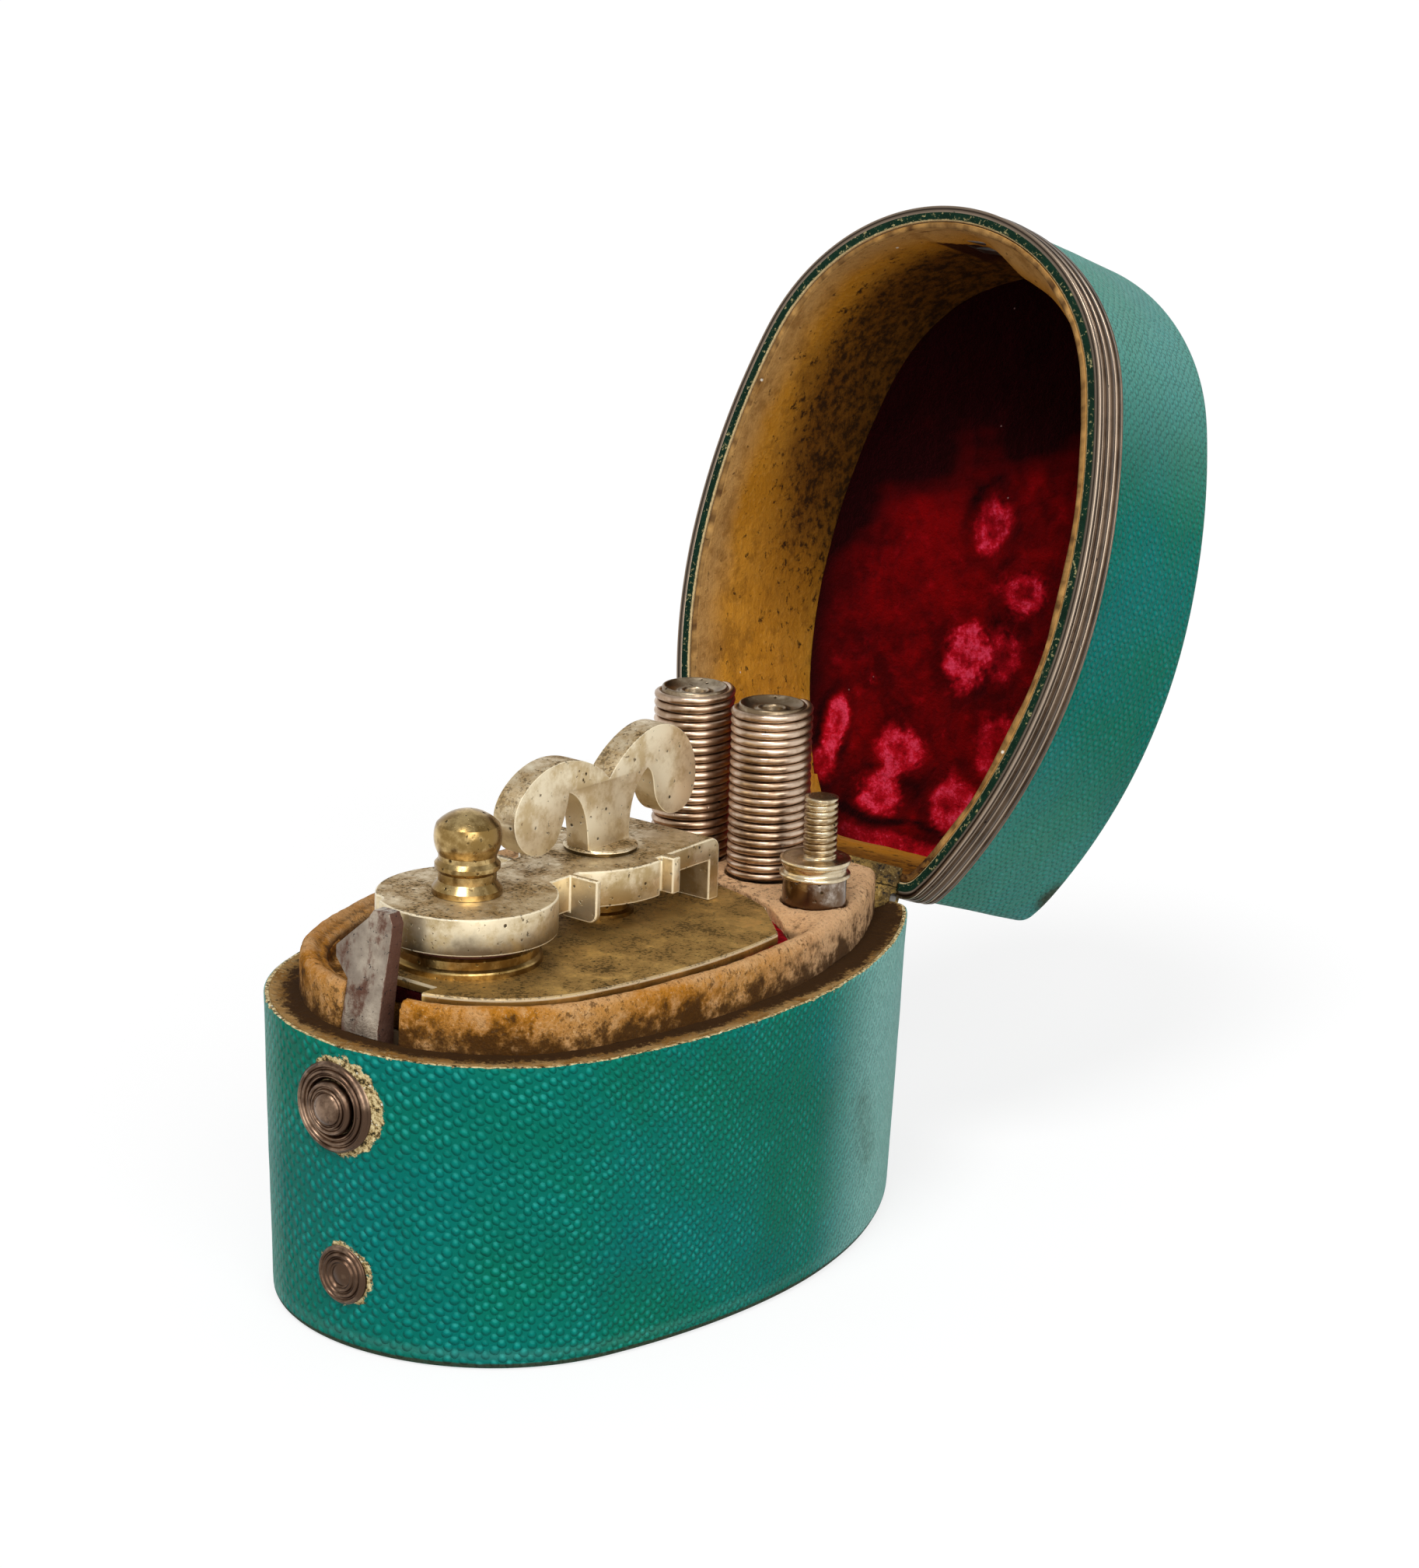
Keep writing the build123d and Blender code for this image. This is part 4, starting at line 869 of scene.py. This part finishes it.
bezel_profile = [(3.25, -44.9), (5.35, -44.9), (5.35, -46.0)] + reed(5.3, 4.55, -45.95, 0.42)
bezel_profile += reed(4.5, 3.95, -46.15, 0.35) + reed(3.9, 3.45, -46.1, 0.3) + [(3.3, -46.0), (3.25, -45.7)]
bezel = on_front("button_rings", bezel_profile[::-1], button_x, button_z)
bezel.data.flip_normals()
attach(bezel, "base")
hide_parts("button_bezel")
button_profile = [(0, -41.7), (1.5, -41.7), (1.5, -45.45), (3.2, -45.45), (3.2, -46.4)]
button_profile += reed(3.15, 2.45, -46.6, 0.4) + reed(2.4, 2.0, -46.85, 0.3)
button_profile += [(1.95, -46.95), (1.7, -47.25), (1.2, -47.5), (0.7, -47.62), (0, -47.66)]
button = on_front("button_turned", button_profile, button_x, button_z)
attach(button, "button")
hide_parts("catch_button")
rosette_face = wall_draw * (1 - rosette_z / rim_z) - front_reach
rosette_profile = [(0, -39.5), (1.9, -39.55), (1.9, -39.9), (0.8, -39.9), (0.8, rosette_face + 0.4)]
rosette_profile += [(3.5, rosette_face + 0.4), (3.5, rosette_face - 0.2)]
rosette_profile += reed(3.45, 2.8, rosette_face - 0.2, 0.35) + reed(2.75, 2.1, rosette_face - 0.25, 0.35)
rosette_profile += reed(2.05, 1.4, rosette_face - 0.25, 0.4)
rosette_profile += [(1.3, rosette_face - 0.25), (0.9, rosette_face - 0.6), (0, rosette_face - 0.68)]
rosette = on_front("rosette_rivet", rosette_profile, 0, rosette_z)
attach(rosette, "base")
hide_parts("catch_rivet")

# Catch: a filed steel spring with a hooked head, riveted at its foot behind the front wall.
# Its face is pitted grey and its edge rusted brown.
rusted = Finish("rusted_steel", Metallic=0.75)
pitting = rusted.noise(520, 5, 0.75)
flaked = rusted.noise(190, 4, 0.6)
streaked = rusted.noise(420, 4, 0.6, place=rusted.stretched((1, 1, 0.22)))
rust = (pitting * 0.5 + flaked * 0.3 + streaked * 0.8 + rusted.own("flank") * 0.22).rise(0.76, 0.92)
rusted.color(rusted.mix(flaked.rise(0.35, 0.65), (0.24, 0.19, 0.145), (0.48, 0.405, 0.315)))
rusted.over(rust * 0.9, (0.13, 0.05, 0.03))
rusted.over(rusted.noise(1100, 3, 0.8).rise(0.60, 0.68), (0.03, 0.02, 0.018))
rusted.rough(0.36 + rust * 0.4)
rusted.relief(pitting, 0.0003, 0.9)
filed("catch_leaf", "catch_leaf_steel", rusted, 0.18, "catch")

# Hinge: brass knuckles and leaves let into the rims and pinned.
# They have gone olive and are crusted with crumbs of dirt.
hinge_brass = Finish("hinge_brass", Metallic=0.3, Roughness=0.7)
crust = hinge_brass.noise(260, 5, 0.7)
crumbs = hinge_brass.noise(1400, 4, 0.75)
olive = (crust + crumbs * 0.5).rise(0.62, 0.92)
hinge_brass.color(hinge_brass.mix(olive, (0.09, 0.052, 0.012), (0.46, 0.29, 0.07)))
hinge_brass.over(crumbs.rise(0.6, 0.68) * 0.8, (0.66, 0.55, 0.30))
hinge_brass.over(crumbs.fall(0.40, 0.45), (0.012, 0.009, 0.004))
hinge_brass.relief(crust + crumbs * 0.5, 0.0006)
for node in ("hinge_leaf_base", "hinge_leaf_lid"):
    dress(node, hinge_brass)

# Skin of the lid: the same shagreen in two pieces, round the wall and over the top, that meet at the rounded
# edge. The lid is made shut, in millimetres, and swung back to where it rests open.
lid_top, lid_round, band_top = 67.2, 2.0, 43.05
cap_inset, cap_thickness = 1.3, 0.75
lid_angle, hinge_line = math.radians(-109.45), (41.6, 37.0)


def swung(grid):
    """Turns points of the shut lid about the hinge line to where it rests open."""
    y, z = grid[..., 1] - hinge_line[0], grid[..., 2] - hinge_line[1]
    turned_y = y * math.cos(lid_angle) - z * math.sin(lid_angle)
    turned_z = y * math.sin(lid_angle) + z * math.cos(lid_angle)
    return np.stack([grid[..., 0], hinge_line[0] + turned_y, hinge_line[1] + turned_z], -1)


def lid_pitch(share):
    """Fine scales at the front and back, and a little coarser ones at both sides, by a squared sine."""
    return 0.92 + 0.12 * np.sin(2 * np.pi * share) ** 2


edge_low = lid_top - lid_round
edge_turn = np.linspace(0, np.pi / 2, 9)
lid_edge = [(lid_round * (1 - math.cos(a)), edge_low + lid_round * math.sin(a)) for a in edge_turn]
wall_outer = [(0.0, z) for z in np.linspace(band_top, edge_low, 30)] + lid_edge[1:5]
wall_inner = [(1.2, lid_top - 1.3), (skin_thickness, lid_top - 2.2), (skin_thickness, band_top)]
lid_wall = carried(wall_outer + wall_inner)
turn_at, up_at = lengths(lid_wall)
x, y, z = np.moveaxis(lid_wall, -1, 0)
swell = ripple(turn_at[:-1][None], up_at[:, None], 20, 13) * 0.07 * np.sin(np.pi * ramp(z, 43, 66))
lid_wall[: len(wall_outer), :, :2] += (away(lid_wall) * swell[..., None])[: len(wall_outer)]
lid_skin_wall = surface(
    "lid_skin_wall", swung(lid_wall), shagreen, closed_rows=True, scales=scale_place(lid_wall, lid_pitch),
    worn=patch(lid_wall, (19.4, 37.2, 65.8), 6) * 1.1 + 0.35 * ramp(z, 65.6, 66.8), raw=z * 0,
    # Painted sheen, partly dust: towards the lid's front edge, and a little towards its back.
    faded=0.5 * ease(y, -10, -38) + 0.2 * ease(y, 12, 36),
)
cap_rings = [ring(plan(inset), z) for inset, z in lid_edge[4:]]
cap_rings += [ring(plan(lid_round) * share, lid_top) for share in np.linspace(1, 0, 26)[1:]]
cap_rings += [ring(plan(cap_inset) * share, lid_top - cap_thickness) for share in np.linspace(0, 1, 6)[1:]]
lid_cap = np.stack(cap_rings)
cap_z = lid_cap[..., 2]
lid_skin_top = surface(
    "lid_skin_top", swung(lid_cap), shagreen, closed_rows=True, scales=lid_cap * (1, 1, 0) / 0.95,
    worn=0.25 * (cap_z < lid_top - 0.1), raw=cap_z * 0, faded=cap_z * 0,
)
for piece in (lid_skin_wall, lid_skin_top):
    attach(piece, "lid")
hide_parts("lid_skin")

# Band: a drawn metal moulding of beads and grooves bent round the lid's rim, browned, with painted shade in
# its grooves and a painted highlight on its narrow beads. Each bead is (low, high, how proud, how bright its
# painted highlight is).
band_beads = [(37.1, 37.45, 0.30, 0.8), (37.5, 38.0, 0.10, 0.1), (38.05, 38.35, 0.20, 0.45)]
band_beads += [(38.4, 39.25, 0.30, 0.0), (39.3, 39.65, 0.34, 0.6), (39.7, 40.95, 0.44, 0.05)]
band_beads += [(41.05, 41.45, 0.38, 0.7), (41.5, 42.5, 0.40, 0.0), (42.55, 43.0, 0.32, 0.25)]
band_metal = brass(
    "band_metal", (0.085, 0.054, 0.034), (0.042, 0.026, 0.016), dullness=0.55, specks=0.3, rough=0.24,
    dirt=(0.02, 0.013, 0.01),
)
on_bead = band_metal.own("crest")
# Painted shade: the grooves between the beads, near black.
band_metal.over(on_bead.fall(0.1, 0.6) * 0.93, (0.012, 0.008, 0.006))
# Painted highlight on the crests of the narrow beads.
band_metal.over(band_metal.own("bright") * on_bead, (0.46, 0.36, 0.27))
band_rows = [(0.72, 37.1, 1.0, 0.5)]
for low, high, proud, bright in band_beads:
    for a in np.linspace(0, np.pi, 11):
        bead_inset = 0.16 - (proud + 0.12) * math.sin(a) ** 0.6
        bead_z = low + (high - low) * (1 - math.cos(a)) / 2
        band_rows.append((bead_inset, bead_z, math.sin(a) ** 0.5, bright))
band_rows = np.array(band_rows + [(0.68, 43.0, 0.0, 0.0)])
band_grid = carried(band_rows[:, :2])
clear_of_hinge(band_grid, 6, 1)
lid_band = surface(
    "lid_band_reeded", swung(band_grid), band_metal, closed_rows=True,
    crest=np.repeat(band_rows[:, 2:3], plan_points, 1), bright=np.repeat(band_rows[:, 3:], plan_points, 1),
)
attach(lid_band, "lid")
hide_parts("lid_band")

# Rim of the lid: a strip of dark green skin turned over the wood's edge, flecked with cream where it is
# rubbed, between a thin pale line of leather inside and the metal band outside.
strip_inner, strip_width = 1.72, 1.32
rim_green = Finish("rim_green", Roughness=0.85, Specular_IOR_Level=0.1)
rim_share = rim_green.own("outward")
rim_fleck = rim_green.noise(1600, 4, 0.75)
rim_green.color(rim_green.mix(rim_green.noise(400, 3), (0.002, 0.008, 0.004), (0.006, 0.035, 0.018)))
rim_green.over(rim_fleck.rise(0.57, 0.64) * 0.85, (0.42, 0.36, 0.17))
rim_green.over((rim_share + rim_fleck * 0.3).fall(0.2, 0.32), (0.62, 0.47, 0.24))
rim_green.over((rim_share + rim_fleck * 0.1).rise(0.92, 0.97), (0.01, 0.01, 0.008))
rim_green.relief(rim_fleck, 0.0003, 0.9)
strip_bend = np.linspace(np.pi, 0, 12)
strip_profile = [(strip_inner, 37.5), (strip_inner - strip_width, 37.5)]
strip_profile += [
    (strip_inner - strip_width * (1 - math.cos(a)) / 2, 37.42 - 0.38 * math.sin(a) ** 0.6) for a in strip_bend
]
strip_grid = carried(strip_profile, close_points)
clear_of_hinge(strip_grid, 4.4, 1)
strip_share = (strip_inner - np.array(strip_profile)[:, :1]) / strip_width
lid_rim = surface(
    "lid_rim_turnover", swung(strip_grid), rim_green, closed_rows=True,
    outward=np.repeat(strip_share, close_points, 1),
)
lid_rim.data.flip_normals()
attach(lid_rim, "lid")
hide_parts("lid_rim_strip")

# Lining of the lid's wall: thin tan sheepskin glued round, wrinkled, speckled with black mould and darkened
# by painted shade towards the front and deeper in. A strip of it is torn loose at the front and leans
# inwards over a hollow in painted shade, and it stands off the wood at the back.
lining = Finish("lining", Roughness=0.8, Specular_IOR_Level=0.1)
skin_grain = lining.noise(1500, 4, 0.65)
skin_patch = lining.noise(80, 4, 0.6)
speck = lining.noise(700, 4, 0.72)
mould = lining.own("mould")
lining.color(lining.mix(skin_patch.rise(0.35, 0.68), (0.49, 0.205, 0.014), (0.67, 0.305, 0.032)))
lining.over(skin_grain.rise(0.5, 0.75) * 0.4, (0.72, 0.38, 0.08))
lining.over((lining.own("rimward") + (skin_patch - 0.5)).rise(0.2, 0.9) * 0.75, (0.50, 0.30, 0.115))
stain = (lining.noise(330, 5, 0.7) + (skin_patch - 0.5) * 0.6).rise(0.48, 0.68)
lining.over(stain * 0.5, (0.20, 0.075, 0.008))
# Painted shade, with the mould: a broad darkening towards the front and deeper in.
lining.over((mould * 0.9 + skin_patch * 0.8 - 0.4).rise(0.1, 0.9) * 0.85, (0.09, 0.026, 0.003))
blotched = (speck * 0.9 + lining.noise(1300, 4, 0.75) * 0.5 + mould * 0.30).rise(0.86, 1.12)
lining.over(blotched * 0.9, (0.03, 0.012, 0.003))
lining.over((speck + mould * 0.08).rise(0.62, 0.70) * 0.8, (0.03, 0.012, 0.004))
# Painted shade: the hollow behind the torn strip, a crease under the rim and the edge at the rim, near black.
lining.over(lining.own("gap").rise(0.2, 0.8) * 0.95, (0.03, 0.006, 0.002))
lining.over(lining.cells(130).fall(0.02, 0.035) * 0.9, (0.85, 0.8, 0.68))
lining.relief(skin_grain * 0.5 + skin_patch + speck * 0.4, 0.0004, 0.9)
lining_outer, lining_inner, lining_lift = 1.84, 2.5, 2.6
lining_profile = [(lining_outer, 64.8), (lining_outer, 37.5), (2.0, 37.2), (2.3, 37.15)]
inside = (np.arange(len(lining_profile) + 90) >= len(lining_profile))[:, None]
lining_profile += [(lining_inner, z) for z in np.linspace(37.35, 65.2, 90)]
lining_grid = carried(lining_profile, close_points)
x, y, z = np.moveaxis(lining_grid, -1, 0)
turn_at = lengths(lining_grid)[0][:-1]
crease = ripple(turn_at * 0.35, z, 7, 17, 3) * 0.10 + ripple(turn_at, z, 16, 18, 2) * 0.16
inwards = -away(lining_grid)
lining_grid[..., :2] += inwards * ((crease + 0.14) * inside)[..., None]
clear_of_hinge(lining_grid, 6, 1)
# Mould speckles and painted shade, towards the front and deeper in, and along the back near the hinge.
mould_at = ramp(z, 40, 56) * (1.25 * ramp(y, 14, -26) + 0.25)
mould_at = np.clip(mould_at + 0.75 * ease(y, 32, 36) * ease(z, 62, 44), 0, 1)
rimward_at = ramp(z, 46, 37)
torn_z = 42.7 + 0.46 * np.clip(x + 6.7, 0, 7.2) + 0.22 * np.sin(x * 1.3) + 0.1 * np.sin(x * 4.1)
torn_run = ease(x, -7.6, -6.4) * ease(y, -12, -26) * inside
flap = torn_run * (0.6 + 2.4 * ease(x, -0.5, 7)) * ease(z, 38.2, 46) * (z < torn_z)
# Painted shade in the hollow above the torn strip, along a crease under the rim, and on the edge at the rim.
hollow = torn_run * (z >= torn_z) * ease(z, 62, 50) * ease(x, 16, 6)
rim_crease = ridge(z, 38.4 + 0.25 * np.sin(x * 0.7), 0.2) * torn_run * 0.7
rim_edge = np.where(z < 37.4, 0.5 + 0.2 * ripple(turn_at, z, 3.0, 19, 3), 0.0)
lining_grid[..., :2] += inwards * flap[..., None]
lifted = (y > 30) * inside * ease(z, 38, 65) * ease(np.abs(x), 27, 16)
lining_grid[..., 1] -= lining_lift * lifted
rubbed_pale = np.where(inside, rimward_at + np.clip(flap, 0, 1) * 0.3 + lifted * 0.4, 0.8)
lid_lining = surface(
    "lid_lining", swung(lining_grid), lining, closed_rows=True, mould=mould_at,
    gap=np.clip(np.maximum.reduce([hollow, rim_crease, rim_edge]), 0, 1), rimward=np.clip(rubbed_pale, 0, 1),
)
lid_lining.data.flip_normals()
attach(lid_lining, "lid")
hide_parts("lid_leather_wall")

# Pad of the lid: silk velvet glued over wadding in the lid's crown, its pile crushed where the fittings
# have pressed it and painted bright there as sheen, black with soot and a painted shadow towards the front,
# and rolled at the back.
# Each dent is (x, y, its half width, its half length, how deep).
pad_inset, pad_back, pad_depth, pad_points = 2.62, 65.55, 0.75, 480
dents = [(-1.8, -9.0, 2.7, 3.6, 0.8), (5.5, -1.0, 3.2, 2.8, 0.65), (-1.4, 8.6, 3.1, 4.0, 1.0)]
dents += [(4.4, 7.6, 2.6, 3.4, 0.5), (-19.2, 21.0, 1.8, 3.4, 1.0), (-19.8, 26.6, 2.2, 2.2, 0.6)]
dents += [(-8.2, 23.0, 3.4, 3.0, 0.9), (-9.8, 29.2, 3.3, 2.7, 0.9), (1.8, 28.4, 3.2, 3.4, 0.85)]
dents += [(6.6, 19.6, 3.2, 4.4, 0.55), (11.0, 27.0, 3.4, 4.0, 0.6)]
pad_outline = plan(pad_inset, pad_points)
shares = np.concatenate([np.linspace(0, 0.9, 60), np.linspace(0.9, 1, 14)[1:]])
pad_grid = np.stack([ring(pad_outline * share, 0.0) for share in shares])
shares = shares[:, None]
x, y, z = np.moveaxis(pad_grid, -1, 0)
press, ringed, shaded = 0.0, 0.0, 0.0
for at_x, at_y, reach_x, reach_y, depth in dents:
    far = np.hypot((x - at_x) / reach_x, (y - at_y) / reach_y)
    far = far + 0.20 * ripple(x, y, 4.5, 47, 3) + 0.15 * ripple(x, y, 1.1, 49, 3)
    press = press + depth * ridge(far, 0, 1.35)
    ringed = ringed + depth * (0.72 * ridge(far, 0.75, 0.36) + 0.52 * ridge(far, 0, 0.95))
    shaded = shaded + depth * ridge(far, 1.55, 0.34)
rests = sum(ridge(np.hypot(x - tube_x, y - tube_y), 0, 5.6) for tube_x, tube_y, seed in tube_places.values())
rumple = ripple(x, y, 9, 41, 3) * 0.28 + ripple(x, y, 2.2, 42, 3) * 0.07
edge_ease = np.sqrt(np.clip(1 - shares ** 10, 0, 1))
z[:] = pad_back - pad_depth - (0.85 + rumple - 0.8 * np.clip(press + rests, 0, 1.1)) * edge_ease
# Painted sheen on the rings of the dents and on the roll at the back.
rolled = ease(y, 33.0, 34.5)
crush = np.clip(ringed, 0, 1.1) * (0.88 + 0.3 * ripple(x, y, 2.6, 43, 3)) + 0.5 * rolled
crush = np.clip(crush + 0.25 * np.clip(ripple(x, y, 6.0, 44, 3), 0, 1), 0, 1.1)
# Soot and painted shadow of the lid's rim towards the front, then painted shade along the pad's left edge,
# beside the dents and in the crease before the roll.
sooty = np.clip((-y - 8 - 0.35 * x + 7 * ripple(x, y, 14, 45, 3)) / 16, 0, 1)
sooty += 0.8 * ramp(shares, 0.74, 0.98) * ramp(x, -4, -14) * (1 - np.clip(press, 0, 1))
sooty += 0.42 * shaded * np.clip(1 - ringed * 1.4, 0, 1)
sooty = np.clip(sooty + 0.7 * ridge(y, 32.3 + 0.4 * np.sin(x * 0.5), 0.45), 0, 1)
pad_full = np.concatenate([pad_grid, [ring(pad_outline, pad_back), ring(pad_outline * 0, pad_back)]])
behind = ((0, 2), (0, 0))
lid_velvet = surface(
    "lid_velvet_pad", swung(pad_full), velvet,
    crushed=np.pad(crush, behind, "edge"), soot=np.pad(sooty, behind, "edge"),
)
lid_velvet.data.flip_normals()
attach(lid_velvet, "lid")
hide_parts("lid_pad")

# Studio: a white table running to a white distance, soft lamps from the front and the right, and open light
# around. The distance and the table are plain white to the lens, and dimmer where they light the case.
scene = bpy.context.scene
scene.view_settings.view_transform = "Standard"


def seen_directly(maker):
    """1 for rays that the lens, a mirror or glass sends out, 0 for those that gather light."""
    kinds = ("Is Camera Ray", "Is Glossy Ray", "Is Transmission Ray")
    first, second, third = [maker.node("ShaderNodeLightPath", out=kind) for kind in kinds]
    return first.high(second).high(third)


world = bpy.data.worlds.new("studio")
scene.world = world
world.use_nodes = True
air = Nodes(world.node_tree)
air.tree.nodes.remove(air.tree.nodes["Background"])
sky_height = air.node("ShaderNodeSeparateXYZ", {0: air.node("ShaderNodeTexCoord", out="Generated")}, out="Z")
open_light = air.node("ShaderNodeBackground", {"Color": (0.8, 0.8, 0.8), "Strength": 0.5})
backdrop = air.node("ShaderNodeBackground", {"Color": 1 - sky_height.rise(0.35, 0.8) * 0.5, "Strength": 1.0})
distance = air.node("ShaderNodeMixShader", {0: seen_directly(air), 1: open_light, 2: backdrop})
air.feed(air.tree.nodes["World Output"].inputs["Surface"], distance)

table = Finish("white_table", Roughness=1.0, Specular_IOR_Level=0.0, Emission_Strength=1.0)
table_seen = seen_directly(table)
table.color(table.mix(table_seen, (0.62, 0.62, 0.62), (0.27, 0.27, 0.27)))
table.feed(table.shader.inputs["Emission Color"], table.mix(table_seen, (0.0, 0.0, 0.0), (0.76, 0.76, 0.76)))
table_mesh = bpy.data.meshes.new("table_top")
reach = 6.0
table_corners = [(-reach, -reach, 0), (reach, -reach, 0), (reach, reach, 0), (-reach, reach, 0)]
table_mesh.from_pydata(table_corners, [], [(0, 1, 2, 3)])
table_mesh.materials.append(table.material)
table_top = bpy.data.objects.new("table_top", table_mesh)
scene.collection.objects.link(table_top)

for lamp_name, lamp_from, width in (("key", (0.12, -0.50, 0.86), 20), ("side", (0.74, -0.50, 0.45), 45)):
    lamp_data = bpy.data.lights.new(lamp_name, "SUN")
    lamp_data.energy, lamp_data.angle = 1.35, math.radians(width)
    lamp = bpy.data.objects.new(lamp_name, lamp_data)
    scene.collection.objects.link(lamp)
    lamp.rotation_mode = "QUATERNION"
    lamp.rotation_quaternion = Vector(lamp_from).to_track_quat("Z", "Y")
